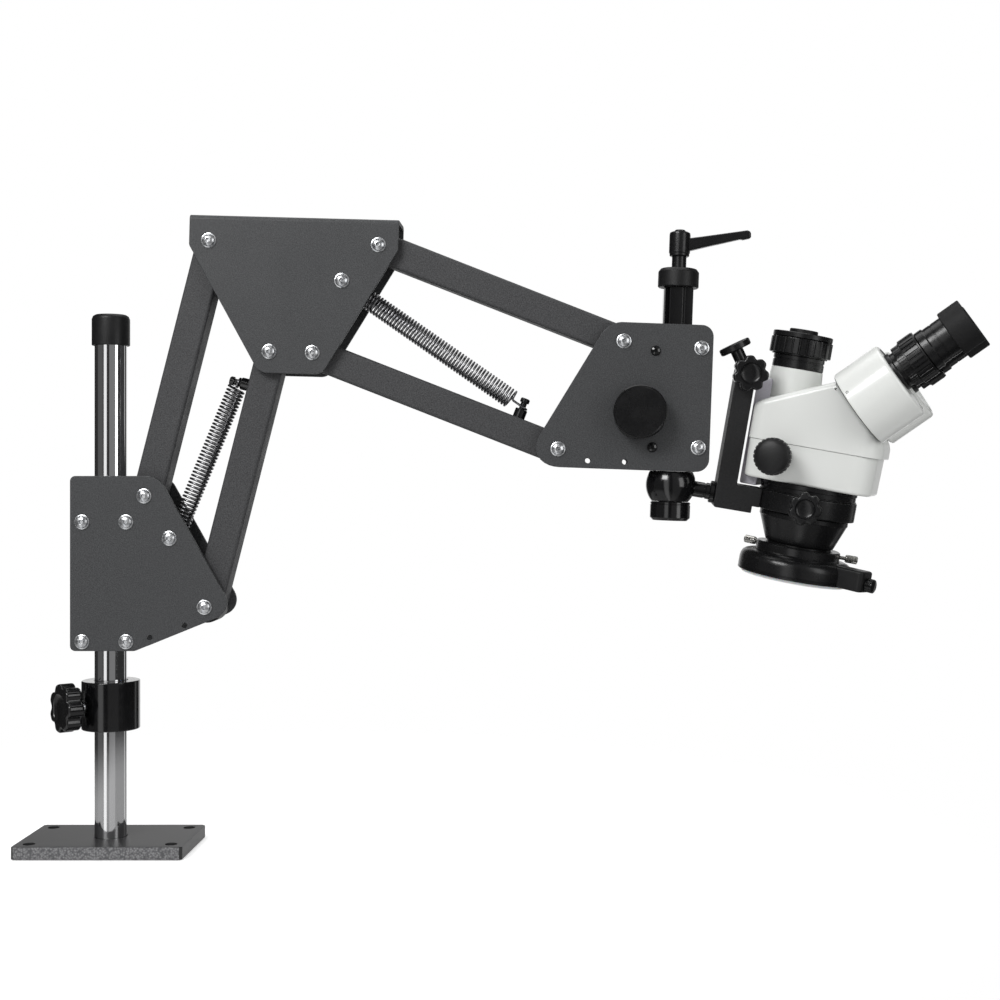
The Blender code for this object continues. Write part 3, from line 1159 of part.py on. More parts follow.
def ring_light(axis):
    """The lamp round the objective: collar, ring, switch block and three thumbscrews."""
    collar = LIGHT_COLLAR_DIAMETER / 2
    outer = LIGHT_DIAMETER / 2
    inner = CONE_FOOT_DIAMETER / 2 + GAP
    step = LIGHT_TOP - LIGHT_COLLAR_HEIGHT
    low = LIGHT_BOTTOM
    light = turned("ring_light", [(collar, LIGHT_TOP), (collar, step), (outer - 0.004, step),
                                  (outer, step - 0.004), (outer, low), (inner, low), (inner, LIGHT_TOP)],
                   SATIN_BLACK, axis, closed=True, steps=28)
    switch = frame("switch_axis", (0, 0, 0), axis, turn_about("Z", SWITCH_TURN))
    half = SWITCH_BLOCK_WIDTH / 2
    corner = SWITCH_BLOCK_CORNER
    outline = rounded([(outer - 0.012, -half, 0), (SWITCH_BLOCK_REACH, -half, corner),
                       (SWITCH_BLOCK_REACH, half, corner), (outer - 0.012, half, 0)], 4)
    fuse(light, add("switch_block", prism_mesh(outline, low, step - 0.001), None, switch))
    head = THUMBSCREW_HEAD_DIAMETER / 2
    shank = THUMBSCREW_SHANK_DIAMETER / 2
    start = collar + THUMBSCREW_SHANK
    screw = [(0, start + THUMBSCREW_HEAD), (head, start + THUMBSCREW_HEAD), (head, start), (shank, start),
             (shank, collar - 0.002), (0, collar - 0.002)]
    middle = LIGHT_TOP - LIGHT_COLLAR_HEIGHT / 2
    for angle in THUMBSCREW_ANGLES:
        outward = facing((cos(angle), sin(angle), 0))
        fuse(light, turned("thumbscrew", screw, None, axis, (0, 0, middle), outward, steps=10))
    turned("diffuser", [(DIFFUSER_OUTER / 2, low - GAP), (DIFFUSER_OUTER / 2, low - GAP - DIFFUSER_HEIGHT),
                        (DIFFUSER_INNER / 2, low - GAP - DIFFUSER_HEIGHT), (DIFFUSER_INNER / 2, low - GAP)],
           DIFFUSER_WHITE, axis, closed=True, steps=28)
    knob = SWITCH_KNOB_DIAMETER / 2
    tip = SWITCH_BLOCK_REACH + GAP + SWITCH_KNOB_LENGTH
    turned("dimmer_knob", [(0, tip), (knob - 0.001, tip), (knob, tip - 0.001), (knob, tip - SWITCH_KNOB_LENGTH),
                           (0, tip - SWITCH_KNOB_LENGTH)], GLOSS_BLACK, switch,
           (0, 0, low + knob + 0.001), TO_RIGHT, steps=14)


base_plate()
pole_and_cap()
stop_collar()
pole_bush()
carriage()
link("rear_link", PIVOT_A, pi / 2 - LOWER_LEAN)
link("front_link", PIVOT_B, pi / 2 - LOWER_LEAN, LOWER_POST_ALONG)
knee()
link("upper_link", PIVOT_E, -UPPER_DROOP)
link("lower_link", PIVOT_F, -UPPER_DROOP, UPPER_POST_ALONG)
spring("lower_spring", hook_point(PIVOT_B, pi / 2 - LOWER_LEAN, LOWER_POST_ALONG), LOWER_SPRING_ANCHOR,
       pi / 2 - LOWER_LEAN, LOWER_SPRING_TURNS)
spring("upper_spring", hook_point(PIVOT_F, -UPPER_DROOP, UPPER_POST_ALONG),
       tilted(PIVOT_C, UPPER_SPRING_ANCHOR, KNEE_SAG), -UPPER_DROOP, UPPER_SPRING_TURNS)
head_frame = head()

# The ball hangs under the column, and the bracket, the ring and the scope lean from it.
ball_x, ball_z = tilted(PIVOT_G, (COLUMN_X, -BALL_DROP), HEAD_SAG)
tilt_frame = frame("tilt_axis", (ball_x, 0, ball_z), None,
                   turn_about("Y", SCOPE_TILT) @ turn_about("X", SCOPE_LEAN))
ring_frame = frame("ring_axis", (RING_REACH, 0, RING_RISE), tilt_frame)
scope_frame = frame("scope_axis", (0, 0, 0), ring_frame, turn_about("Z", -SCOPE_YAW))
ball_joint(head_frame, tilt_frame)
scope_bracket(ring_frame)
microscope_body(scope_frame)
scope_cover = upper_cover(scope_frame)
rear_spine(scope_frame)
third_port(scope_frame)
eyepiece_side(scope_frame, scope_cover, -1, "near")
eyepiece_side(scope_frame, scope_cover, 1, "far")
zoom_knobs(scope_frame)
ring_light(scope_frame)

for piece in parts.objects:
    if piece.type == "MESH":
        piece.data.shade_smooth()
        piece.data.set_sharp_from_angle(angle=radians(32))
bpy.context.view_layer.update()
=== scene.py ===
# %% [markdown]
# # A stereo microscope on a spring-balanced arm
#
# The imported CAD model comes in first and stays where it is. It is a little coarse, as models for
# physics are, so this lesson makes each piece again at the fineness of the real one and lets it
# ride on the CAD body that it stands for. Everything is in metres, with +Z up, and the origin is
# under the pole. The arm reaches along +X and is seen from -Y.

from math import acos, asin, atan2, cos, pi, radians, sin, sqrt, tan

import bmesh
import bpy
from mathutils import Matrix, Vector


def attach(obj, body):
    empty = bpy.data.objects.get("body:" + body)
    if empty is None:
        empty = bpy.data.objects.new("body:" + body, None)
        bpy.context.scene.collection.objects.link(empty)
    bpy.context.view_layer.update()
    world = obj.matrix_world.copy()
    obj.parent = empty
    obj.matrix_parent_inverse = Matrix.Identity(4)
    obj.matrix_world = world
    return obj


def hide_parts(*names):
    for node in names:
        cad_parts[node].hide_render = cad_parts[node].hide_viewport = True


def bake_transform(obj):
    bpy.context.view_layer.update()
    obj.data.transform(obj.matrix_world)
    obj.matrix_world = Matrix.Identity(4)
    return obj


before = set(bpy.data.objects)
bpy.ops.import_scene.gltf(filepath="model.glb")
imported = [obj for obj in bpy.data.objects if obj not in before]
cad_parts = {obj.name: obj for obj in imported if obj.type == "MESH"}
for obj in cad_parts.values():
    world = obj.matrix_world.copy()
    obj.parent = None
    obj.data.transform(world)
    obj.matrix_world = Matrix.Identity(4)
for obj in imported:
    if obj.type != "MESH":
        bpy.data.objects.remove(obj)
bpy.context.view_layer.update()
scene = bpy.context.scene

# %% [markdown]
# ## The camera
#
# The picture was taken from far away with a longish lens, level with the middle of the arm. The
# near and far sides of the base plate and of the two carriage plates show how fast things shrink
# with distance, and where those lines meet is the point straight ahead of the lens. It lies a
# little right of the picture's middle, because the picture was trimmed, so a level camera takes a
# small shift instead of a turn. A turn would stretch one end of the arm.

# %% Camera
CAMERA_PLACE = (0.4364, -1.5, 0.350)
CAMERA_LENS, CAMERA_SENSOR = 56.8, 36
CAMERA_SHIFT = (-0.07, -0.02)

eye = bpy.data.objects.new("camera", bpy.data.cameras.new("camera"))
eye.data.lens = CAMERA_LENS
eye.data.sensor_width = CAMERA_SENSOR
eye.location = CAMERA_PLACE
eye.data.shift_x, eye.data.shift_y = CAMERA_SHIFT
level_and_straight = (pi / 2, 0, 0)
eye.rotation_euler = level_and_straight
scene.collection.objects.link(eye)
scene.camera = eye
scene.view_settings.view_transform = "Standard"

# %% [markdown]
# ## Light
#
# Small black and chrome things are lit by what they mirror. The real ones stood in a dim room in
# front of a white wall, with one large soft lamp above on the left and a weaker one on the right.
# The world does the same for everything that mirrors it. The wall straight behind the object is
# white, the rest is dim, and four upright stripes stand in it, as a window and three pale panels
# would. That keeps the black parts black and draws the long stripes on the chrome pole.

# %% World
world = bpy.data.worlds.new("studio")
scene.world = world
world.use_nodes = True
nodes = world.node_tree.nodes
links = world.node_tree.links
room = nodes["Background"]
room.inputs["Color"].default_value = (1, 1, 1, 1)
direction = nodes.new("ShaderNodeTexCoord")
axes = nodes.new("ShaderNodeSeparateXYZ")
links.new(direction.outputs["Generated"], axes.inputs["Vector"])


def ramp(tree, source, stops):
    """A colour ramp over a value, from (place, grey) stops."""
    made = tree.nodes.new("ShaderNodeValToRGB")
    while len(made.color_ramp.elements) < len(stops):
        made.color_ramp.elements.new(0.5)
    for element, (place, grey) in zip(made.color_ramp.elements, stops):
        element.position = place
        element.color = (grey, grey, grey, 1) if isinstance(grey, (int, float)) else (*grey, 1)
    tree.links.new(source, made.inputs["Fac"])
    return made


def sums(tree, operation, *values):
    """A Math node; each value is a number or another node's output."""
    made = tree.nodes.new("ShaderNodeMath")
    made.operation = operation
    for socket, value in zip(made.inputs, values):
        if isinstance(value, (int, float)):
            socket.default_value = value
        else:
            tree.links.new(value, socket)
    return made.outputs[0]


def band(tree, value, low, high, soft):
    """One inside a range of a value and zero outside it, with soft edges."""
    rise = tree.nodes.new("ShaderNodeMapRange")
    fall = tree.nodes.new("ShaderNodeMapRange")
    for made, edge, sense in ((rise, low, 1), (fall, high, -1)):
        made.interpolation_type = "SMOOTHSTEP"
        made.inputs["From Min"].default_value = edge - soft * sense
        made.inputs["From Max"].default_value = edge + soft * sense
        tree.links.new(value, made.inputs["Value"])
    return sums(tree, "MULTIPLY", rise.outputs["Result"], fall.outputs["Result"])


# A stripe runs between two edges, in degrees to the right of straight behind the camera. Next come
# the softness of the edges, in radians, and for a panel its brightness.
WINDOW, WINDOW_LEVEL = (-35, -14, 0.04), (-1.50, 0.62, 0.10)
PANELS = [(4, 46, 0.05, 0.18), (-88, -42, 0.10, 0.07), (124, 134, 0.04, 0.45)]
WALL, DIMMEST, ROOM_LIGHT = (0.90, 2.0, 0.05), 0.03, 0.52

tree = world.node_tree
around = sums(tree, "ARCTAN2", axes.outputs["X"], sums(tree, "MULTIPLY", axes.outputs["Y"], -1.0))
wall = band(tree, axes.outputs["Y"], *WALL)
level = band(tree, axes.outputs["Z"], *WINDOW_LEVEL)
left, right, soft = WINDOW
window = band(tree, around, radians(left), radians(right), soft)
stripes = sums(tree, "MULTIPLY_ADD", window, level, DIMMEST)
for left, right, soft, brightness in PANELS:
    panel = band(tree, around, radians(left), radians(right), soft)
    stripes = sums(tree, "MULTIPLY_ADD", panel, brightness, stripes)
mirrored = sums(tree, "MAXIMUM", stripes, wall)
rays = nodes.new("ShaderNodeLightPath")
seen = sums(tree, "MAXIMUM", rays.outputs["Is Glossy Ray"], rays.outputs["Is Transmission Ray"])
lit = sums(tree, "MULTIPLY_ADD", sums(tree, "SUBTRACT", mirrored, ROOM_LIGHT), seen, ROOM_LIGHT)
links.new(sums(tree, "MAXIMUM", lit, rays.outputs["Is Camera Ray"]), room.inputs["Strength"])
print("stripes", 1 + len(PANELS), "world nodes", len(nodes))


# %% Lamps
def lamp(name, place, towards, width, depth, power):
    """A soft rectangular lamp."""
    light = bpy.data.lights.new(name, "AREA")
    light.shape = "RECTANGLE"
    light.size = width
    light.size_y = depth
    light.energy = power
    made = bpy.data.objects.new(name, light)
    made.location = place
    made.rotation_euler = (Vector(towards) - Vector(place)).to_track_quat("-Z", "Y").to_euler()
    scene.collection.objects.link(made)
    print(name, power, "watts,", width, "by", depth, "m")


lamp("key_lamp", (-0.55, -1.5, 1.55), (0.35, 0, 0.3), 0.9, 0.7, 22)
lamp("fill_lamp", (1.9, -1.3, 0.7), (0.4, 0, 0.3), 0.7, 1.3, 6)
lamp("top_lamp", (0.4, 0.3, 1.9), (0.4, 0, 0.3), 1.6, 1.2, 10)

# %% [markdown]
# ## The floor
#
# A wide pale floor takes the soft shadow of the base plate. It gives off a little light of its own
# to the camera, so that it goes white where no shadow falls, and it fades out some way from the
# stand, so that it meets the white wall unseen. In mirrors it shows only faintly, so the stripes
# on the pole run on down to the base.

# %% Floor
FLOOR_SIZE, FLOOR_PLACE = 6.0, (0.1, 0, -0.0005)
FLOOR_GREY, FLOOR_GLOW = 0.82, 0.45
FADE_FROM, FADE_TO, MIRROR_LOSS = 0.30, 0.75, 0.75

slab = bmesh.new()
bmesh.ops.create_grid(slab, x_segments=1, y_segments=1, size=FLOOR_SIZE)
floor_mesh = bpy.data.meshes.new("floor")
slab.to_mesh(floor_mesh)
slab.free()
floor = bpy.data.objects.new("floor", floor_mesh)
floor.location = FLOOR_PLACE
scene.collection.objects.link(floor)
pale = bpy.data.materials.new("floor_paper")
pale.use_nodes = True
tree = pale.node_tree
paper = tree.nodes["Principled BSDF"]
paper.inputs["Base Color"].default_value = (FLOOR_GREY, FLOOR_GREY, FLOOR_GREY, 1)
paper.inputs["Roughness"].default_value = 0.9
paper.inputs["Specular IOR Level"].default_value = 0.1
paper.inputs["Emission Color"].default_value = (1, 1, 1, 1)
rays = tree.nodes.new("ShaderNodeLightPath")
mirrors = sums(tree, "MAXIMUM", rays.outputs["Is Glossy Ray"], rays.outputs["Is Transmission Ray"])
seen = sums(tree, "MAXIMUM", rays.outputs["Is Camera Ray"], mirrors)
tree.links.new(sums(tree, "MULTIPLY", seen, FLOOR_GLOW), paper.inputs["Emission Strength"])
place = tree.nodes.new("ShaderNodeTexCoord")
reach = tree.nodes.new("ShaderNodeVectorMath")
reach.operation = "LENGTH"
tree.links.new(place.outputs["Object"], reach.inputs[0])
edge = tree.nodes.new("ShaderNodeMapRange")
edge.interpolation_type = "SMOOTHSTEP"
edge.inputs["From Min"].default_value = FADE_TO
edge.inputs["From Max"].default_value = FADE_FROM
tree.links.new(reach.outputs["Value"], edge.inputs["Value"])
weight = sums(tree, "MULTIPLY_ADD", mirrors, -MIRROR_LOSS, 1.0)
tree.links.new(sums(tree, "MULTIPLY", edge.outputs["Result"], weight), paper.inputs["Alpha"])
floor_mesh.materials.append(pale)
print("the floor fades from", FADE_FROM, "to", FADE_TO, "m")

# %% [markdown]
# ## Finishes
#
# Each finish starts from one Principled shader. A colour that is the same all over goes straight
# on the shader's socket. Grain is noise on Object coordinates, in grains per metre, so it has the
# same real size on every piece. It tips the surface with a Bump node and shifts the colour a
# little, which is what powder coat, rubber and cast paint really do.

# %% Finish helpers
finishes = {}


def finish(name, slot, colour, roughness, metallic=0.0, **sockets):
    """A new material with its plain values, remembered with the record's slot."""
    made = bpy.data.materials.new(name)
    made.use_nodes = True
    shader = made.node_tree.nodes["Principled BSDF"]
    shader.inputs["Base Color"].default_value = (*colour, 1)
    shader.inputs["Roughness"].default_value = roughness
    shader.inputs["Metallic"].default_value = metallic
    for socket, value in sockets.items():
        shader.inputs[socket.replace("_", " ")].default_value = value
    finishes[name] = (made, slot)
    return made.node_tree, shader


def noise(tree, grains, detail=2.0, stretch=(1, 1, 1)):
    """Noise on Object coordinates, with so many grains to the metre."""
    place = tree.nodes.new("ShaderNodeTexCoord")
    mapping = tree.nodes.new("ShaderNodeMapping")
    mapping.inputs["Scale"].default_value = stretch
    made = tree.nodes.new("ShaderNodeTexNoise")
    made.inputs["Scale"].default_value = grains
    made.inputs["Detail"].default_value = detail
    tree.links.new(place.outputs["Object"], mapping.inputs["Vector"])
    tree.links.new(mapping.outputs["Vector"], made.inputs["Vector"])
    return made.outputs["Fac"]


def relief(tree, shader, source, depth, strength):
    """Raises the surface by a value, at most so deep."""
    bump = tree.nodes.new("ShaderNodeBump")
    bump.inputs["Distance"].default_value = depth
    bump.inputs["Strength"].default_value = strength
    tree.links.new(source, bump.inputs["Height"])
    tree.links.new(bump.outputs["Normal"], shader.inputs["Normal"])


def mottle(tree, shader, source, dark, light, low=0.35, high=0.65):
    """Runs the colour between two shades with a value."""
    shades = ramp(tree, source, [(low, dark), (high, light)])
    tree.links.new(shades.outputs["Color"], shader.inputs["Base Color"])


def vary_roughness(tree, shader, source, low, high):
    """Runs the roughness between two values."""
    shades = ramp(tree, source, [(0.3, low), (0.7, high)])
    tree.links.new(shades.outputs["Color"], shader.inputs["Roughness"])


def grained(name, slot, colour, roughness, specular, grain, dark, light, bump,
            spread=(0.35, 0.65), slow=None):
    """A coat whose fine grain, as (grains, detail), shows in its shade and its bumps.

    Bump is (depth, strength), and slow is a broad change of roughness as (grains, low, high).
    """
    tree, shader = finish(name, slot, colour, roughness, Specular_IOR_Level=specular)
    fine = noise(tree, *grain)
    mottle(tree, shader, fine, dark, light, *spread)
    relief(tree, shader, fine, *bump)
    if slow:
        grains, low, high = slow
        vary_roughness(tree, shader, noise(tree, grains), low, high)


# %% [markdown]
# Powder coat is the finish that shows most. Close to, it is a charcoal skin full of tiny bumps,
# about half a millimetre across, some a little lighter than others. Two noises are used: a fine
# one for the bumps and a broad one for the slow change in shade that a sprayed panel has.

# %% Powder coats
grained("charcoal_powder_coat", "charcoal", (0.045, 0.046, 0.048), 0.52, 0.42, grain=(1100, 3.0),
        dark=(0.030, 0.031, 0.033), light=(0.075, 0.077, 0.080), spread=(0.30, 0.72),
        bump=(0.00022, 0.55), slow=(22, 0.46, 0.60))
grained("link_powder_coat", "link_tube", (0.045, 0.046, 0.048), 0.55, 0.40, grain=(900, 3.0),
        dark=(0.030, 0.030, 0.032), light=(0.078, 0.079, 0.082), spread=(0.30, 0.72),
        bump=(0.0003, 0.6), slow=(30, 0.50, 0.64))
print("finishes so far", list(finishes))

# %% [markdown]
# The base plate is black with a coarse hammered look on its front and back edges, a field of
# pale spots about two millimetres across. Voronoi cells give such spots. The direction of the
# surface and its distance from the middle pick out those two edges, and not the holes.

# %% Hammered paint
SPOTS_TO_THE_METRE, EDGE_Y = 520, 0.0468

tree, shader = finish("hammered_paint", "base_paint", (0.05, 0.05, 0.05), 0.40,
                      Specular_IOR_Level=0.45)
cells = tree.nodes.new("ShaderNodeTexVoronoi")
cells.inputs["Scale"].default_value = SPOTS_TO_THE_METRE
cells.inputs["Randomness"].default_value = 0.9
place = tree.nodes.new("ShaderNodeTexCoord")
tree.links.new(place.outputs["Object"], cells.inputs["Vector"])
facing_y = tree.nodes.new("ShaderNodeSeparateXYZ")
tree.links.new(place.outputs["Normal"], facing_y.inputs["Vector"])
upright = band(tree, sums(tree, "ABSOLUTE", facing_y.outputs["Y"]), 0.92, 2.0, 0.04)
reach_y = tree.nodes.new("ShaderNodeSeparateXYZ")
tree.links.new(place.outputs["Object"], reach_y.inputs["Vector"])
outside = band(tree, sums(tree, "ABSOLUTE", reach_y.outputs["Y"]), EDGE_Y, 2.0, 0.0004)
upright = sums(tree, "MULTIPLY", upright, outside)
speckle = ramp(tree, cells.outputs["Distance"],
               [(0.1, (0.27, 0.27, 0.275)), (0.75, (0.09, 0.09, 0.095))])
coats = tree.nodes.new("ShaderNodeMix")
coats.data_type = "RGBA"
coats.inputs["A"].default_value = (0.030, 0.030, 0.031, 1)
tree.links.new(speckle.outputs["Color"], coats.inputs["B"])
tree.links.new(upright, coats.inputs["Factor"])
tree.links.new(coats.outputs["Result"], shader.inputs["Base Color"])
relief(tree, shader, sums(tree, "MULTIPLY", cells.outputs["Distance"], upright), 0.0004, 0.6)

# %% [markdown]
# Bright metal needs almost no colour work: what it mirrors does the job. The pole has faint
# polishing marks that run round it, so the noise is stretched flat. Zinc plate is duller and
# cloudy, and the spring wire is drawn steel with a thin oily oxide.

# %% Metals
tree, shader = finish("pole_chrome", "chrome", (0.78, 0.78, 0.79), 0.07, 1.0)
marks = noise(tree, 60, 2.0, (1, 1, 22))
vary_roughness(tree, shader, marks, 0.05, 0.11)
relief(tree, shader, marks, 0.00002, 0.15)

tree, shader = finish("bright_zinc", "zinc", (0.78, 0.80, 0.82), 0.27, 1.0)
cloud = noise(tree, 420, 3.0)
mottle(tree, shader, cloud, (0.58, 0.60, 0.63), (0.90, 0.91, 0.92), 0.35, 0.6)
vary_roughness(tree, shader, cloud, 0.22, 0.40)
relief(tree, shader, noise(tree, 800), 0.00012, 0.4)

tree, shader = finish("spring_wire", "spring_steel", (0.29, 0.29, 0.30), 0.28, 1.0)
oxide = noise(tree, 260, 3.0)
mottle(tree, shader, oxide, (0.20, 0.20, 0.21), (0.38, 0.38, 0.39))
vary_roughness(tree, shader, oxide, 0.20, 0.34)

tree, shader = finish("knurled_nickel", "zinc", (0.72, 0.71, 0.68), 0.22, 1.0)
vary_roughness(tree, shader, noise(tree, 500), 0.16, 0.32)

tree, shader = finish("black_chrome", "chrome", (0.006, 0.006, 0.0065), 0.10, 0.0,
                      Specular_IOR_Level=0.55, Coat_Weight=0.35, Coat_Roughness=0.06)
vary_roughness(tree, shader, noise(tree, 70), 0.08, 0.15)
relief(tree, shader, noise(tree, 160), 0.00004, 0.2)

# %% [markdown]
# The black parts are five different blacks. Lacquer on the collar and its knob, the spring posts
# and the ball is smooth and mirrors the lamps. Anodised alloy on the other knobs, the ring, the
# lamp and the eyepieces has a silky skin with a soft highlight, and the bracket's paint is flatter
# and coarser. Moulded plastic has a fine spark-eroded grain, and the eyecups are dull rubber.

# %% Blacks
tree, shader = finish("gloss_lacquer", "gloss_black", (0.004, 0.004, 0.0045), 0.16,
                      Specular_IOR_Level=0.5, Coat_Weight=0.5, Coat_Roughness=0.08)
relief(tree, shader, noise(tree, 240), 0.00005, 0.25)
vary_roughness(tree, shader, noise(tree, 90), 0.13, 0.22)

grained("black_alloy", "black_alloy", (0.006, 0.006, 0.0065), 0.26, 0.48, grain=(1300, 2.0),
        dark=(0.004, 0.004, 0.0045), light=(0.009, 0.009, 0.0095), bump=(0.00006, 0.4),
        slow=(80, 0.22, 0.32))
grained("black_bracket_paint", "black_alloy", (0.012, 0.012, 0.0125), 0.50, 0.4, grain=(1000, 3.0),
        dark=(0.008, 0.008, 0.0085), light=(0.020, 0.020, 0.021), spread=(0.3, 0.7),
        bump=(0.00018, 0.5))
grained("black_plastic", "black_plastic", (0.007, 0.007, 0.0075), 0.40, 0.40, grain=(1500, 2.0),
        dark=(0.005, 0.005, 0.0055), light=(0.011, 0.011, 0.0115), bump=(0.00010, 0.45),
        slow=(60, 0.38, 0.50))
grained("soft_rubber", "rubber", (0.009, 0.009, 0.0095), 0.60, 0.32, grain=(1800, 2.0),
        dark=(0.007, 0.007, 0.0075), light=(0.013, 0.013, 0.0135), bump=(0.00010, 0.5))

# %% [markdown]
# The microscope's shell is cast alloy under warm white enamel. The enamel is thick, so it has a
# clear coat and a very slight orange peel. The strip up the back is painted a cool grey lilac, a
# darker and bluer copy of the white enamel: painted shade, the white as it looks in shadow.

# %% Enamel, lilac grey painted shade, glass and diffuser
tree, shader = finish("white_enamel", "body_white", (0.80, 0.815, 0.79), 0.30,
                      Specular_IOR_Level=0.5, Coat_Weight=0.35, Coat_Roughness=0.12)
mottle(tree, shader, noise(tree, 14), (0.785, 0.80, 0.775), (0.815, 0.83, 0.805), 0.3, 0.7)
relief(tree, shader, noise(tree, 260), 0.00008, 0.18)

# The lilac grey is painted shade: a darker, bluer copy of the white enamel for the strip that lies in
# shadow.
grained("lilac_painted_shade", "spine_grey", (0.71, 0.69, 0.76), 0.42, 0.45, grain=(1200, 2.0),
        dark=(0.68, 0.66, 0.73), light=(0.74, 0.72, 0.79), bump=(0.00008, 0.35))

tree, shader = finish("white_diffuser", "diffuser_white", (0.86, 0.87, 0.88), 0.45,
                      Subsurface_Weight=0.25, Subsurface_Scale=0.004)
relief(tree, shader, noise(tree, 900), 0.00008, 0.3)
mottle(tree, shader, noise(tree, 40), (0.83, 0.84, 0.85), (0.88, 0.89, 0.90))

tree, shader = finish("nylon", "nylon", (0.55, 0.53, 0.48), 0.5)
mottle(tree, shader, noise(tree, 300), (0.50, 0.48, 0.43), (0.60, 0.58, 0.53))

tree, shader = finish("coated_glass", "black_alloy", (0.006, 0.007, 0.012), 0.04,
                      Specular_IOR_Level=0.8, Coat_Weight=1.0, Coat_Roughness=0.02,
                      Coat_Tint=(0.55, 0.65, 1.0, 1.0))
relief(tree, shader, noise(tree, 40), 0.00001, 0.05)
print("finishes", len(finishes))

# %% [markdown]
# ## Shape helpers
#
# Machined parts need four moves: turn a profile, cut a plate to an outline, take one solid from
# another, and break the sharp edges. Each is a bmesh operator or one modifier. Breaking the edges
# matters most, because no real edge is perfectly sharp and the thin bevel is what catches light.

# %% Turning and cutting out
TO_VIEWER = Matrix.Rotation(pi / 2, 4, "X")
TO_BACK = Matrix.Rotation(-pi / 2, 4, "X")
TO_RIGHT = Matrix.Rotation(pi / 2, 4, "Y")
ALONG_X = Matrix(((0, 0, 1, 0), (1, 0, 0, 0), (0, 1, 0, 0), (0, 0, 0, 1)))
HERE = Matrix.Identity(4)


def at(x=0.0, y=0.0, z=0.0):
    """A move."""
    return Matrix.Translation((x, y, z))


def about(axis, angle):
    """A turn about X, Y or Z."""
    return Matrix.Rotation(angle, 4, axis)


def facing(direction):
    """A turn that takes +Z to a direction."""
    return Vector(direction).to_track_quat("Z", "Y").to_matrix().to_4x4()


def everything(shape):
    return shape.verts[:] + shape.edges[:] + shape.faces[:]


def points_among(items):
    return [item for item in items if isinstance(item, bmesh.types.BMVert)]


def moved(shape, matrix):
    bmesh.ops.transform(shape, matrix=matrix, verts=shape.verts)
    return shape


def turned(profile, steps=64, closed=False):
    """Spins a line of (radius, height) points about Z."""
    shape = bmesh.new()
    points = [shape.verts.new((radius, 0, height)) for radius, height in profile]
    for one, two in zip(points, points[1:]):
        shape.edges.new((one, two))
    if closed:
        shape.edges.new((points[-1], points[0]))
    bmesh.ops.spin(shape, geom=everything(shape), cent=(0, 0, 0), axis=(0, 0, 1), angle=2 * pi,
                   steps=steps, use_merge=True)
    bmesh.ops.remove_doubles(shape, verts=shape.verts, dist=1e-6)
    bmesh.ops.recalc_face_normals(shape, faces=shape.faces)
    return shape


def sleeve(outer, inner, low, high, steps=96):
    """A plain tube, from its two radii and two heights."""
    return turned([(outer, high), (outer, low), (inner, low), (inner, high)], steps, closed=True)


def soften(shape, width, segments=2, sharper=35, only=None):
    """Rounds every edge that is sharper than an angle."""
    limit = radians(sharper)
    edges = [edge for edge in shape.edges if edge.is_manifold and edge.calc_face_angle() > limit
             and (only is None or only(edge))]
    bmesh.ops.bevel(shape, geom=edges, offset=width, segments=segments, profile=0.5,
                    affect="EDGES", material=-1)
    return shape


def ring_of_edges(shape, corners, fineness=8):
    """A closed line through (x, y) or (x, y, radius) corners, rounded by a vertex bevel."""
    points = [shape.verts.new((corner[0], corner[1], 0)) for corner in corners]
    for one, two in zip(points, points[1:] + points[:1]):
        shape.edges.new((one, two))
    for point, corner in zip(points, corners):
        if len(corner) < 3:
            continue
        one, two = (edge.other_vert(point).co - point.co for edge in point.link_edges)
        reach = corner[2] / tan(one.angle(two) / 2)
        bmesh.ops.bevel(shape, geom=[point], offset=reach, segments=fineness, profile=0.5,
                        affect="VERTICES", material=-1)


def mirrored_over(half):
    """An outline whose first half is a list of corners at +Y, seen in a mirror."""
    return [(x, -y, *corner) for x, y, *corner in half] + half[::-1]


def raise_faces(shape, height):
    """Extrudes a flat outline straight up."""
    made = bmesh.ops.extrude_face_region(shape, geom=shape.faces[:])["geom"]
    bmesh.ops.translate(shape, vec=(0, 0, height), verts=points_among(made))
    bmesh.ops.recalc_face_normals(shape, faces=shape.faces)


def cut_plate(corners, low, high, holes=(), fineness=8):
    """A flat outline with round holes, given its thickness by an extrusion."""
    shape = bmesh.new()
    ring_of_edges(shape, corners, fineness)
    for x, y, diameter in holes:
        bmesh.ops.create_circle(shape, segments=32, radius=diameter / 2, matrix=at(x, y))
    if holes:
        bmesh.ops.triangle_fill(shape, edges=shape.edges, use_beauty=True)
    else:
        bmesh.ops.contextual_create(shape, geom=shape.edges[:])
    moved(shape, at(0, 0, low))
    raise_faces(shape, high - low)
    return shape


def block(low, high):
    """A box between two corners."""
    shape = bmesh.new()
    bmesh.ops.create_cube(shape, size=1)
    size = Vector(high) - Vector(low)
    middle = (Vector(high) + Vector(low)) / 2
    return moved(shape, Matrix.Translation(middle) @ Matrix.Diagonal((*size, 1)))


def rod(diameter, low, high, sides=48):
    """A solid cylinder about Z."""
    shape = bmesh.new()
    bmesh.ops.create_cone(shape, cap_ends=True, segments=sides, radius1=diameter / 2,
                          radius2=diameter / 2, depth=high - low, matrix=at(0, 0, (high + low) / 2))
    return shape


def together(shape, *others):
    """Several shapes in one mesh, as separate closed shells."""
    for other in others:
        carrier = bpy.data.meshes.new("carrier")
        other.to_mesh(carrier)
        other.free()
        shape.from_mesh(carrier)
        bpy.data.meshes.remove(carrier)
    return shape


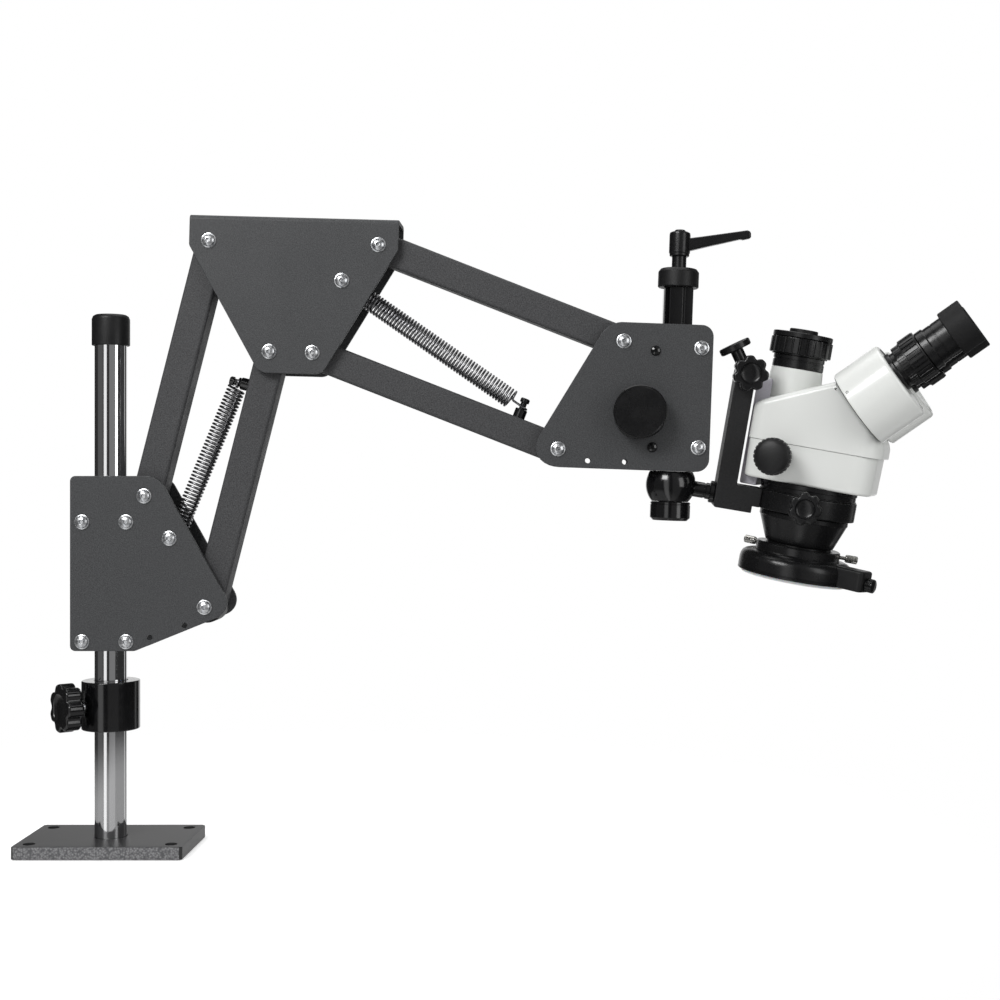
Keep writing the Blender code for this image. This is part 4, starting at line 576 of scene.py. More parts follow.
def solid(shape, other, operation):
    """One solid with another taken away, added or kept in common, by a Boolean modifier."""
    pair = []
    for each in (shape, other):
        mesh = bpy.data.meshes.new("temporary")
        each.to_mesh(mesh)
        each.free()
        pair.append(bpy.data.objects.new("temporary", mesh))
        scene.collection.objects.link(pair[-1])
    boolean = pair[0].modifiers.new("boolean", "BOOLEAN")
    boolean.operation = operation
    boolean.object = pair[1]
    boolean.solver = "EXACT"
    bpy.context.view_layer.update()
    result = bmesh.new()
    result.from_object(pair[0], bpy.context.evaluated_depsgraph_get())
    for each in pair:
        mesh = each.data
        bpy.data.objects.remove(each)
        bpy.data.meshes.remove(mesh)
    bmesh.ops.remove_doubles(result, verts=result.verts, dist=1e-6)
    return result


def minus(shape, other):
    return solid(shape, other, "DIFFERENCE")


def plus(shape, other):
    return solid(shape, other, "UNION")


# %% [markdown]
# A finished piece has its place in its mesh, and its object stays at the origin. It takes its
# finish, rides on its body, and hides the CAD nodes that it stands for. Smooth shading
# with sharp edges kept by angle gives clean flats, and a Weighted Normal modifier stops the thin
# bevels from bending the light over the whole face.

# %% Finishing a piece
def piece(name, shape, place, look, body, *stands_for, sharp=38, weighted=True):
    """Makes an object of a shape, on a body and in place of the CAD nodes that it stands for."""
    moved(shape, place)
    mesh = bpy.data.meshes.new(name)
    shape.to_mesh(mesh)
    shape.free()
    made = bpy.data.objects.new(name, mesh)
    scene.collection.objects.link(made)
    material, slot = finishes[look]
    mesh.materials.append(material)
    mesh.shade_smooth()
    mesh.set_sharp_from_angle(angle=radians(sharp))
    if weighted:
        normals = made.modifiers.new("weighted_normal", "WEIGHTED_NORMAL")
        normals.keep_sharp = True
    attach(made, body)
    if stands_for:
        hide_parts(*stands_for)
    print(name, "faces", len(mesh.polygons))
    return made


def repaint(look, name):
    """Gives a CAD node whose shape is right a better finish."""
    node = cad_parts[name]
    node.data.materials.clear()
    node.data.materials.append(finishes[look][0])


# %% [markdown]
# ## The base plate, the pole and its cap
#
# The base is a flat steel plate with its four corners nipped off and a screw hole near each. The
# pole is a chromed tube let into it, with a domed cap pushed over the open end.

# %% Base plate
BASE_WIDTH, BASE_DEPTH, BASE_THICKNESS = 0.158, 0.096, 0.012
BASE_HOLE, BASE_RECESS, BASE_RECESS_DEPTH, BASE_HOLE_INSET = 0.0070, 0.0110, 0.004, 0.013
BASE_CHAMFER, HOLE_CHAMFER = 0.0025, 0.0006
ABOVE_FLOOR = 0.0002
POLE_DIAMETER, POLE_WALL, POLE_FOOT, POLE_TOP = 0.030, 0.003, 0.0043, 0.5043
GAP = 0.0003

half_x, half_y, nip = BASE_WIDTH / 2, BASE_DEPTH / 2, BASE_CHAMFER
outline = [(nip - half_x, -half_y), (half_x - nip, -half_y), (half_x, nip - half_y),
           (half_x, half_y - nip), (half_x - nip, half_y), (nip - half_x, half_y),
           (-half_x, half_y - nip), (-half_x, nip - half_y)]
screw_places = [(side * (half_x - BASE_HOLE_INSET), end * (half_y - BASE_HOLE_INSET))
                for side in (-1, 1) for end in (-1, 1)]
holes = [(x, y, BASE_RECESS) for x, y in screw_places] + [(0, 0, POLE_DIAMETER + 2 * GAP)]
slab = soften(cut_plate(outline, 0, BASE_THICKNESS, holes), 0.0006, 2, 50)
seat, wide, narrow = BASE_THICKNESS - BASE_RECESS_DEPTH, BASE_RECESS / 2, BASE_HOLE / 2
for x, y in screw_places:
    ring = turned([(wide, seat), (narrow + HOLE_CHAMFER, seat), (narrow, seat - HOLE_CHAMFER),
                   (narrow, ABOVE_FLOOR), (wide, ABOVE_FLOOR)], 32, closed=True)
    together(slab, moved(ring, at(x, y)))
together(slab, rod(POLE_DIAMETER + 4 * GAP, ABOVE_FLOOR, POLE_FOOT - GAP))
piece("base_plate_steel", slab, HERE, "hammered_paint", "stand", "base_plate")

# %% Pole and cap
outer, inner = POLE_DIAMETER / 2, POLE_DIAMETER / 2 - POLE_WALL
tube = soften(sleeve(outer, inner, POLE_FOOT, POLE_TOP), 0.0005)
piece("pole_tube", tube, HERE, "pole_chrome", "stand", "pole")

CAP_DIAMETER, CAP_FOOT, CAP_CROWN = 0.0352, 0.4776, 0.5076
radius = CAP_DIAMETER / 2
dome = [(0, CAP_CROWN), (radius * 0.45, CAP_CROWN - 0.0002), (radius - 0.0035, CAP_CROWN - 0.0008),
        (radius - 0.0012, CAP_CROWN - 0.0022), (radius, CAP_CROWN - 0.0050), (radius, CAP_FOOT + 0.0006),
        (radius - 0.0006, CAP_FOOT), (outer + GAP, CAP_FOOT), (outer + GAP, POLE_TOP + GAP),
        (0, POLE_TOP + GAP)]
piece("pole_cap_moulding", turned(dome, 96), HERE, "black_plastic", "stand", "pole_cap", sharp=45)

# %% [markdown]
# ## Star knobs
#
# Three clamps end in a seven-lobed star knob. It starts as a circle whose points are drawn in and
# out with the cosine of their angle. The disc is extruded, a wide bevel rounds the lobes as a
# moulding is rounded, and a turned dish is taken out of the face. A turned boss and a steel stud
# follow it on the same axis.

# %% Star knob
LOBES, POINTS_A_LOBE = 7, 14
DENT_DEPTH, DENT_SHARPNESS = 0.18, 2.2


def star_knob(name, radius, thickness, face, screw, tip, place, body, node, look="black_alloy"):
    """A star knob whose face stands so high over its place, with a stud that reaches back to a tip."""
    back = face - thickness
    knob = bmesh.new()
    bmesh.ops.create_circle(knob, cap_ends=True, segments=LOBES * POINTS_A_LOBE, radius=radius,
                            matrix=at(0, 0, back))
    for point in knob.verts:
        dent = 0.5 - 0.5 * cos(LOBES * atan2(point.co.y, point.co.x))
        draw = 1 - DENT_DEPTH * dent ** DENT_SHARPNESS
        point.co.x *= draw
        point.co.y *= draw
    raise_faces(knob, thickness)
    soften(knob, thickness * 0.16, 5, 60)
    boss = turned([(0, back + 0.002), (radius * 0.56, back + 0.002), (radius * 0.56, back - 0.0006),
                   (radius * 0.50, back - 0.0014), (radius * 0.46, back - 0.004), (0, back - 0.004)], 48)
    dish = turned([(0, face + 0.0002), (radius * 0.61, face + 0.0002), (radius * 0.60, face - 0.0003),
                   (radius * 0.55, face - 0.0016), (radius * 0.44, face - 0.0026),
                   (radius * 0.24, face - 0.0030), (0, face - 0.0030)], 56)
    knob = together(minus(knob, dish), boss)
    piece(name, knob, place, look, body, node, sharp=50)
    stud = soften(rod(screw, tip, back - 0.002, 24), 0.0003)
    piece(name + "_stud", stud, place, "bright_zinc", body)


# %% [markdown]
# ## The stop collar
#
# A thick lacquered ring stops the carriage from sliding down. Its rims are broken by a small
# bevel, and its star knob drives a screw against the pole.

# %% Stop collar
COLLAR_DIAMETER, COLLAR_HEIGHT, COLLAR_MIDDLE = 0.054, 0.046, 0.137
COLLAR_KNOB_SIDE, COLLAR_SCREW = radians(50), 0.008
COLLAR = at(0, 0, COLLAR_MIDDLE)

outer, inner, half = COLLAR_DIAMETER / 2, POLE_DIAMETER / 2 + GAP, COLLAR_HEIGHT / 2
ring = soften(sleeve(outer, inner, -half, half, 128), 0.0011, 3)
piece("stop_collar_ring", ring, COLLAR, "gloss_lacquer", "collar", "stop_collar")
outward = (-sin(COLLAR_KNOB_SIDE), -cos(COLLAR_KNOB_SIDE), 0)
star_knob("collar_star_knob", 0.023, 0.016, outer + 0.024, COLLAR_SCREW, inner + GAP,
          COLLAR @ facing(outward), "collar_screw", "collar_knob", "gloss_lacquer")

# %% [markdown]
# ## Bolts
#
# Every joint shows a bright button-head bolt with a flange: a low dome, a hexagon socket in the
# middle and a thin washer face under it. The head is turned, and the socket is a six-sided hole
# cut into it. Behind, a flanged nut closes the joint. One function makes them all, with plain
# spacers or rollers on the bolts that carry them.

# %% Bolt
PLATE, SPACE = 0.004, 0.0372
FACE = SPACE / 2 + PLATE
HEAD, HEAD_HEIGHT, NUT_HEIGHT = 0.014, 0.0045, 0.0065
PIVOT, FIXED = 0.008, 0.006
SOCKET_WIDTH, SOCKET_DEPTH = 0.0046, 0.0022


def bolt_shape(shank, spacer=0.0):
    """A bolt along Z with its head over the front plate and its nut behind the back one."""
    radius, crown = HEAD / 2, FACE + HEAD_HEIGHT
    dome = [(0, HEAD_HEIGHT), (radius * 0.34, HEAD_HEIGHT - 0.00012),
            (radius * 0.58, HEAD_HEIGHT - 0.0006), (radius * 0.76, HEAD_HEIGHT - 0.0015),
            (radius * 0.84, HEAD_HEIGHT - 0.0029), (radius * 0.85, 0.0011), (radius * 0.99, 0.0008),
            (radius, 0.0004), (radius, 0), (0, 0)]
    head = moved(turned(dome, 48), at(0, 0, FACE))
    head = minus(head, rod(SOCKET_WIDTH, crown - SOCKET_DEPTH, crown + 0.001, 6))
    shaft = rod(shank, -FACE - NUT_HEIGHT, FACE + 0.0005, 32)
    nut = soften(rod(HEAD * 0.93, -FACE - NUT_HEIGHT + 0.0006, -FACE - 0.0012, 6), 0.0004)
    washer = rod(HEAD * 0.96, -FACE - 0.0013, -FACE)
    together(head, shaft, nut, washer)
    if spacer:
        reach = SPACE / 2 - GAP
        together(head, soften(rod(spacer, -reach, reach), 0.0004))
    return head


def bolt(name, place, x, z, shank, body, *nodes, spacer=0.0):
    """A bolt through both plates at a point of them."""
    piece(name, bolt_shape(shank, spacer), place @ at(x, 0, z) @ TO_VIEWER, "bright_zinc", body,
          *nodes, sharp=30)


# %% [markdown]
# ## The carriage
#
# Two laser-cut plates stand either side of the pole, with a nylon bush between them that slides
# and turns on it. Four bolts with steel spacers guide it, and two more are the pivots of the
# lower arm. The outline is a few corners with a radius each, and a vertex bevel rounds them.

# %% Pivots of the arm
LINK_LENGTH, LINK_WIDTH, LINK_DEPTH = 0.247, 0.0285, 0.027
LOWER_ANGLE, UPPER_ANGLE = radians(90 - 14.2), radians(-21.4)
KNEE_SAG, HEAD_SAG = radians(1.5), radians(2.1)
PIVOT_SPREAD, PIVOT_SLANT, KNEE_SPAN = 0.1185, radians(30), 0.159


def along(start, length, angle):
    """The (x, z) point so far from another in a direction."""
    return (start[0] + length * cos(angle), start[1] + length * sin(angle))


def sagged(origin, local, sag):
    """The (x, z) point of a place on a part that hangs a little out of level."""
    return (origin[0] + local[0] * cos(sag) + local[1] * sin(sag),
            origin[1] - local[0] * sin(sag) + local[1] * cos(sag))


KNEE_D = (PIVOT_SPREAD * sin(PIVOT_SLANT), -PIVOT_SPREAD * cos(PIVOT_SLANT))
KNEE_F = (KNEE_SPAN - KNEE_D[0], KNEE_D[1])
A = (0.0375, 0.335)
B = sagged(A, KNEE_D, KNEE_SAG)
C = along(A, LINK_LENGTH, LOWER_ANGLE)
E = sagged(C, (KNEE_SPAN, 0), KNEE_SAG)
F = sagged(C, KNEE_F, KNEE_SAG)
G = along(E, LINK_LENGTH, UPPER_ANGLE)
H = along(F, LINK_LENGTH, UPPER_ANGLE)
HEAD_H = sagged((0, 0), (H[0] - G[0], H[1] - G[1]), -HEAD_SAG)
KNEE = at(C[0], 0, C[1]) @ about("Y", KNEE_SAG)
HEAD_PLACE = at(G[0], 0, G[1]) @ about("Y", HEAD_SAG)
for name, point in zip("ABCEFGH", (A, B, C, E, F, G, H)):
    print("pivot", name, round(point[0], 4), round(point[1], 4))

# %% Carriage
GUIDE_X, GUIDE_Z, GUIDE_SPACER = 0.0206, (0.3107, 0.1986), 0.0106
LOWER_ANCHOR = (0.0612, 0.2954)
SPARE_HOLE, BUSH_HALF = 0.0052, 0.0475


def plate_pair(owner, corners, spares, place, fineness=8):
    """The same laser-cut plate in front and behind, with spare holes in both."""
    for name, side in (("front", 1), ("back", -1)):
        low = side * (FACE - PLATE / 2) - PLATE / 2
        holes = [(x, z, SPARE_HOLE) for x, z in spares]
        sheet = soften(cut_plate(corners, low, low + PLATE, holes, fineness), 0.0005, 2, 50)
        piece(owner + "_sheet_" + name, sheet, place @ TO_VIEWER, "charcoal_powder_coat", owner,
              owner + "_plate_" + name)


corners = [(-0.032, 0.3538, 0.005), (-0.032, 0.1897, 0.005), (0.0286, 0.1897, 0.010),
           (0.1216, 0.2274, 0.0155), (0.0505, 0.3538, 0.018)]
plate_pair("carriage", corners, [(0.0427, 0.2025), (0.0753, 0.2139)], HERE)
for row, z in zip(("top", "low"), GUIDE_Z):
    for column, side in (("left", -1), ("right", 1)):
        bolt("guide_bolt_" + row + "_" + column, HERE, side * GUIDE_X, z, FIXED, "carriage",
             spacer=GUIDE_SPACER)
bolt("lower_anchor_bolt", HERE, *LOWER_ANCHOR, FIXED, "carriage")
bolt("pivot_a_bolt", HERE, *A, PIVOT, "carriage", "pivot_bolt_a")
bolt("pivot_b_bolt", HERE, *B, PIVOT, "carriage", "pivot_bolt_b")
middle = sum(GUIDE_Z) / 2
bush = sleeve(SPACE / 2 - GAP, POLE_DIAMETER / 2 + GAP, middle - BUSH_HALF, middle + BUSH_HALF)
piece("sliding_bush", soften(bush, 0.0008), HERE, "nylon", "lift", "pole_bush")

# %% [markdown]
# ## The four links
#
# Each link is a length of square tube with rounded edges. A black cap closes each end in a half
# round, and a cross bush fills the space to the plates. The front and lower links also carry a
# post for the spring.

# %% Links
LINK_CORNER, END_CAP, CROSS_BUSH = 0.003, 0.031, 0.017
FRONT_POST_AT, LOWER_POST_AT = 0.2119, 0.2009
SLEEVE_RISE, NECK_RISE, POST_RISE = 0.0086, 0.0150, 0.0195


def link(name, start, angle, body, post_at=None):
    """A link from its first pivot in a direction, with a spring post or without."""
    place = at(start[0], 0, start[1]) @ about("Y", -angle)
    deep, half = LINK_DEPTH / 2, LINK_WIDTH / 2
    square = mirrored_over([(-deep, half, LINK_CORNER), (deep, half, LINK_CORNER)])
    tube = cut_plate(square, 0.0, LINK_LENGTH, fineness=5)
    piece(name + "_tube", tube, place @ ALONG_X, "link_powder_coat", body, name)
    ends, bushes = bmesh.new(), bmesh.new()
    reach = SPACE / 2 - GAP
    for x in (0, LINK_LENGTH):
        cap = soften(rod(END_CAP, -deep - 0.0005, deep + 0.0005, 64), 0.0018, 3)
        together(ends, moved(cap, at(x) @ TO_VIEWER))
        together(bushes, moved(soften(rod(CROSS_BUSH, -reach, reach), 0.0005), at(x) @ TO_VIEWER))
    piece(name + "_end_caps", ends, place, "black_plastic", body)
    piece(name + "_cross_bushes", bushes, place, "black_alloy", body)
    if post_at:
        foot, shoulder, neck, top = half - 0.001, half + SLEEVE_RISE, half + NECK_RISE, half + POST_RISE
        post = turned([(0, top), (0.0036, top), (0.0045, top - 0.0009), (0.0045, neck + 0.0006),
                       (0.0041, neck), (0.003, neck), (0.003, shoulder), (0.0053, shoulder),
                       (0.0059, shoulder - 0.0006), (0.0059, foot), (0, foot)], 48)
        piece(name + "_post", post, place @ at(post_at), "gloss_lacquer", body, sharp=30)


link("rear_link", A, LOWER_ANGLE, "rear_arm")
link("front_link", B, LOWER_ANGLE, "front_arm", FRONT_POST_AT)
link("upper_link", E, UPPER_ANGLE, "upper_arm")
link("lower_link", F, UPPER_ANGLE, "lower_arm", LOWER_POST_AT)

# %% [markdown]
# ## The knee
#
# The knee is one sheet folded over the top like a saddle, and both cheeks are cut to the same
# outline. The fold is drawn as a section and extruded along the arm, and then only what lies
# inside the outline is kept. That way the bend runs true into the slanted edges.

# %% Knee
KNEE_TOP, KNEE_BOTTOM, KNEE_HALF, KNEE_FOOT_HALF = 0.0241, 0.1226, 0.098, 0.0295
KNEE_SHOULDER, FOLD_RADIUS, PAST_THE_FOOT = -0.0045, 0.0045, -0.14

middle = KNEE_SPAN / 2
inside, under = SPACE / 2, KNEE_TOP - PLATE
fold = [(-FACE, PAST_THE_FOOT), (-FACE, KNEE_TOP, FOLD_RADIUS), (FACE, KNEE_TOP, FOLD_RADIUS),
        (FACE, PAST_THE_FOOT), (inside, PAST_THE_FOOT), (inside, under, 0.001),
        (-inside, under, 0.001), (-inside, PAST_THE_FOOT)]
saddle = cut_plate(fold, middle - KNEE_HALF - 0.01, middle + KNEE_HALF + 0.01, fineness=6)
cheek = [(middle - KNEE_HALF, 0.04), (middle - KNEE_HALF, KNEE_SHOULDER, 0.006),
         (middle - KNEE_FOOT_HALF, -KNEE_BOTTOM, 0.012), (middle + KNEE_FOOT_HALF, -KNEE_BOTTOM, 0.012),
         (middle + KNEE_HALF, KNEE_SHOULDER, 0.006), (middle + KNEE_HALF, 0.04)]
cutter = moved(cut_plate(cheek, -0.05, 0.05), TO_VIEWER)
saddle = solid(moved(saddle, ALONG_X), cutter, "INTERSECT")
soften(saddle, 0.0005, 2, 55)
piece("knee_saddle", saddle, KNEE, "charcoal_powder_coat", "knee", "knee_housing")
for name, (x, z) in (("c", (0, 0)), ("d", KNEE_D), ("e", (KNEE_SPAN, 0)), ("f", KNEE_F)):
    bolt("pivot_" + name + "_bolt", KNEE, x, z, PIVOT, "knee", "pivot_bolt_" + name)
UPPER_ANCHOR = (0.1255, -0.0344)
bolt("upper_anchor_bolt", KNEE, *UPPER_ANCHOR, FIXED, "knee")

# %% [markdown]
# ## The balance springs
#
# A tension spring is one wire. Here the wire's round section is a small circle, and the spin
# operator draws it out. It rises for the coil, curls in by half a turn at each end, folds up into
# a straight leg and closes in a small eye. The eye below lies round the neck of the post and the
# eye above stands round the bolt, so the two ends are a quarter turn apart. The spring joins two
# bodies that slide apart.

# %% Drawing wire
WIRE, EYE, FOLD = 0.0022, 0.0044, 0.0022
NECK_RADIUS = 0.003
EYE_REST = (EYE - WIRE / 2 - NECK_RADIUS) / 2
STEPS_A_TURN = 24


def edges_among(items):
    return [item for item in items if isinstance(item, bmesh.types.BMEdge)]


def swept(shape, ring, centre, axis, angle, steps, rise=0.0):
    """Draws the section round an axis and returns the ring at its end."""
    made = bmesh.ops.spin(shape, geom=ring, cent=centre, axis=axis, angle=angle, steps=steps,
                          dvec=Vector(axis) * rise / steps)
    edges = edges_among(made["geom_last"])
    return edges + list({point for edge in edges for point in edge.verts})


def drawn(shape, ring, move):
    """Draws the section straight on."""
    made = bmesh.ops.extrude_edge_only(shape, edges=edges_among(ring))["geom"]
    points = points_among(made)
    bmesh.ops.translate(shape, vec=move, verts=points)
    return points + [edge for edge in edges_among(made) if all(v in points for v in edge.verts)]


def half_spring(coil, turns, pitch, tail):
    """Half a coil below the origin, with its leg and its eye standing above it."""
    shape = bmesh.new()
    made = bmesh.ops.create_circle(shape, segments=10, radius=WIRE / 2, matrix=at(coil) @ TO_VIEWER)
    ring = made["verts"] + list({edge for vert in made["verts"] for edge in vert.link_edges})
    last = drawn(shape, ring, (0, FOLD, 0))
    last = swept(shape, last, ((coil - EYE) / 2, FOLD, 0), (0, 0, 1), pi, 14, WIRE)
    last = swept(shape, last, (-EYE, FOLD, WIRE + FOLD), (-1, 0, 0), pi / 2, 6)
    middle = tail - EYE_REST
    last = drawn(shape, last, (0, 0, middle - WIRE - FOLD))
    last = swept(shape, last, (0, 0, middle), (0, 1, 0), radians(300), 24)
    bmesh.ops.contextual_create(shape, geom=edges_among(last))
    steps = round(turns * STEPS_A_TURN)
    swept(shape, ring, (0, 0, 0), (0, 0, -1), turns * 2 * pi, steps, pitch * turns)
    return shape


# %% Spring
HOOK_RISE = 0.0108
LOWER_SPRING, LOWER_TURNS, LOWER_TAILS = 0.0178, 39.75, (0.0072, 0.0120)
UPPER_SPRING, UPPER_TURNS, UPPER_TAILS = 0.0195, 55.75, (0.0144, 0.0120)


def spring(name, hook, anchor, diameter, turns, tails, label):
    """A spring between two (x, z) points, whose coil starts a tail's length from each."""
    run = Vector((anchor[0] - hook[0], 0, anchor[1] - hook[1]))
    place = at(hook[0], 0, hook[1]) @ about("Y", atan2(run.x, run.z))
    coil = (diameter - WIRE) / 2
    low, high = tails[0], run.length - tails[1]
    pitch = (high - low) / turns
    wire = moved(half_spring(coil, turns / 2, pitch, tails[1]), at(0, 0, high))
    below = moved(half_spring(coil, turns / 2, pitch, tails[0]),
                  at(0, 0, low) @ about("Z", pi / 2) @ about("X", pi))
    together(wire, below)
    bmesh.ops.remove_doubles(wire, verts=wire.verts, dist=0.00002)
    bmesh.ops.recalc_face_normals(wire, faces=wire.faces)
    print(name, "pitch", round(pitch * 1000, 2), "mm, open edges", sum(e.is_boundary for e in wire.edges))
    made = piece(name, wire, place, "spring_wire", label + "_coil", label + "_spring_loop",
                 label + "_spring_coil", sharp=60, weighted=False)
    made.parent = None
    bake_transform(made)


def hook_point(start, angle, reach):
    """Where a spring's eye sits on a link's post."""
    return along(along(start, reach, angle), LINK_WIDTH / 2 + HOOK_RISE, angle + pi / 2)


spring("lower_balance_spring", hook_point(B, LOWER_ANGLE, FRONT_POST_AT), LOWER_ANCHOR,
       LOWER_SPRING, LOWER_TURNS, LOWER_TAILS, "lower")
spring("upper_balance_spring", hook_point(F, UPPER_ANGLE, LOWER_POST_AT),
       sagged(C, UPPER_ANCHOR, KNEE_SAG), UPPER_SPRING, UPPER_TURNS, UPPER_TAILS, "upper")

# %% [markdown]
# ## The head
#
# Two plates with a slanted edge hang from the upper arm. Between them a block holds the pinion
# and guides the column, and two rollers press the column against it. The hand knobs are plain
# black drums with a thin bright rim where the lacquer breaks over the edge. The CAD block, with
# its dovetail, is already right, so it only takes a better finish.

# %% Head plates
COLUMN_X, COLUMN_WIDTH, COLUMN_DEPTH = 0.05025, 0.0275, 0.026
ROLLER_X, ROLLER_Z = 0.0730, (-0.0040, -0.0973)
ROLLER = 2 * (ROLLER_X - COLUMN_X - COLUMN_WIDTH / 2 - GAP)

corners = [(-0.0147, 0.0178, 0.022), (-0.0922, -0.120, 0.021), (0.0838, -0.120, 0.012),
           (0.0838, 0.0178, 0.011)]
plate_pair("head", corners, [(-0.0298, -0.1130), (0.0049, -0.1130)], HEAD_PLACE, 10)
bolt("pivot_g_bolt", HEAD_PLACE, 0, 0, PIVOT, "head", "pivot_bolt_g")
bolt("pivot_h_bolt", HEAD_PLACE, *HEAD_H, PIVOT, "head", "pivot_bolt_h")
for name, z in zip(("top", "low"), ROLLER_Z):
    bolt("roller_bolt_" + name, HEAD_PLACE, ROLLER_X, z, FIXED, "head", spacer=ROLLER)
repaint("black_alloy", "focus_block")

# %% Small black screws that hold the focus block
BLOCK_SCREW, BLOCK_SCREW_HEIGHT = 0.0095, 0.0032
BLOCK_SCREW_X, BLOCK_SCREW_Z = 0.0300, (-0.0080, -0.0985)
BOTH_FACES = (("front", TO_VIEWER), ("back", TO_BACK))


def button_screw(diameter, height):
    """A low round screw head on Z = 0, with a hexagon socket."""
    radius = diameter / 2
    dome = turned([(0, height), (radius * 0.4, height * 0.97), (radius * 0.8, height * 0.7),
                   (radius, height * 0.25), (radius, 0), (0, 0)], 40)
    return minus(dome, rod(diameter * 0.42, height * 0.45, height + 0.001, 6))


for row, z in zip(("top", "low"), BLOCK_SCREW_Z):
    for name, turn in BOTH_FACES:
        screw = moved(button_screw(BLOCK_SCREW, BLOCK_SCREW_HEIGHT), at(0, 0, FACE))
        piece("block_screw_" + row + "_" + name, screw, HEAD_PLACE @ at(BLOCK_SCREW_X, 0, z) @ turn,
              "gloss_lacquer", "head", sharp=30)

# %% Focus knobs
PINION = (0.0170, -0.0665)
PINION_ACROSS, PINION_HALF, FOCUS_SHAFT = 0.0168, 0.004, 0.008
KNOB, KNOB_BACK, KNOB_THICK = 0.0498, FACE + 0.002, 0.020

radius, back, face = KNOB / 2, KNOB_BACK, KNOB_BACK + KNOB_THICK
place = HEAD_PLACE @ at(PINION[0], 0, PINION[1])
for name, turn in BOTH_FACES:
    drum = turned([(0, face - 0.0004), (radius - 0.0022, face - 0.0004), (radius - 0.0016, face),
                   (radius - 0.0008, face), (radius, face - 0.0009), (radius, back + 0.0012),
                   (radius - 0.0012, back), (0, back)], 128)
    piece("focus_hand_knob_" + name, drum, place @ turn, "black_alloy", "focus", "focus_knob_" + name,
          sharp=30)
shaft = together(rod(FOCUS_SHAFT, -back, back), rod(PINION_ACROSS, -PINION_HALF, PINION_HALF))
piece("focus_pinion_shaft", shaft, place @ TO_VIEWER, "bright_zinc", "focus")

# %% [markdown]
# ## The column, its cap and the clamp lever
#
# The column is a black-chromed bar with a dovetail on its left, a thin groove down each face and
# a rack let into it. The grooves are what show, because each catches a thread of light. The lever
# is a turned hub with a flat arm that tapers to a small lip for the finger.

# %% Column
COLUMN_TOP, COLUMN_FOOT, DOVETAIL = 0.0539, -0.120, 0.0058
GROOVE_X, GROOVE_HALF, GROOVE_DEPTH = 0.0552, 0.0011, 0.0016

left, right, deep = COLUMN_X - COLUMN_WIDTH / 2, COLUMN_X + COLUMN_WIDTH / 2, COLUMN_DEPTH / 2
shoulder, sunk = left + DOVETAIL, deep - GROOVE_DEPTH
near, far = GROOVE_X - GROOVE_HALF, GROOVE_X + GROOVE_HALF
bar = mirrored_over([(left, 0.0105), (shoulder, 0.0075), (shoulder, deep), (near, deep),
                     (near, sunk), (far, sunk), (far, deep), (right, deep)])
column = soften(cut_plate(bar, COLUMN_FOOT, COLUMN_TOP), 0.00035, 2, 30)
piece("column_bar_dovetailed", column, HEAD_PLACE, "black_chrome", "column", "column_bar", sharp=30)

# %% Rack
RACK_PITCH, RACK_TEETH, TEETH_BELOW = pi * 0.001, 18, 4
RACK_HALF_WIDTH, TOOTH_SHARE = 0.004, 0.27

rack = bmesh.new()
tooth_half, inside = RACK_PITCH * TOOTH_SHARE, left + 0.0005
for count in range(RACK_TEETH):
    z = PINION[1] + (count + 0.5 - TEETH_BELOW) * RACK_PITCH
    tooth = block((left - 0.0045, -RACK_HALF_WIDTH, z - tooth_half),
                  (inside, RACK_HALF_WIDTH, z + tooth_half))
    together(rack, soften(tooth, 0.0002))
low, high = (PINION[1] + count * RACK_PITCH for count in (-TEETH_BELOW, RACK_TEETH - TEETH_BELOW))
backing = block((left - 0.0025, -RACK_HALF_WIDTH, low), (inside, RACK_HALF_WIDTH, high))
piece("column_rack", together(rack, backing), HEAD_PLACE, "bright_zinc", "column", sharp=30)

# %% Column cap
COLUMN_CAP, COLUMN_CAP_HEIGHT, LEVER_BORE = 0.0387, 0.018, 0.0033
COLUMN_PLACE = HEAD_PLACE @ at(COLUMN_X)

radius, low = COLUMN_CAP / 2, COLUMN_TOP + GAP
high = low + COLUMN_CAP_HEIGHT
cap = turned([(LEVER_BORE, high), (radius - 0.0032, high), (radius - 0.0022, high - 0.0004),
              (radius - 0.0003, high - 0.0028), (radius, high - 0.0036), (radius, low + 0.0008),
              (radius - 0.0008, low), (LEVER_BORE, low)], 96, closed=True)
piece("column_top_cap", cap, COLUMN_PLACE, "black_plastic", "column", "column_cap", sharp=30)

# %% Clamp lever
HUB_FOOT_HEIGHT, HUB_HEIGHT = 0.0114, 0.0235
LEVER_RISE, LEVER_AT, LEVER_HALF = radians(12.2), 0.42, 0.0050

foot = high + GAP
under = foot + HUB_FOOT_HEIGHT
top = under + HUB_HEIGHT
hub = turned([(0, top + 0.002), (0.0042, top + 0.002), (0.0052, top + 0.0012), (0.0052, top),
              (0.0078, top), (0.0096, top - 0.0010), (0.0100, top - 0.0026), (0.0100, under + 0.0035),
              (0.0094, under + 0.0028), (0.0094, under + 0.0008), (0.0086, under), (0.0069, under),
              (0.0069, foot + 0.0006), (0.0063, foot), (0.003, foot), (0.003, foot - 0.006),
              (0, foot - 0.006)], 64)
piece("clamp_lever_hub", hub, COLUMN_PLACE, "black_alloy", "lever", "clamp_lever", sharp=30)
side_view = [(0.006, -0.0062), (0.022, -0.0052, 0.01), (0.0585, -0.0036, 0.004),
             (0.0600, -0.0046, 0.001), (0.0680, -0.0044, 0.0022), (0.0690, 0.0015, 0.0030),
             (0.0660, 0.0036, 0.0025), (0.022, 0.0052, 0.02), (0.006, 0.0060)]
arm = soften(cut_plate(side_view, -LEVER_HALF, LEVER_HALF), 0.0021, 4, 60)
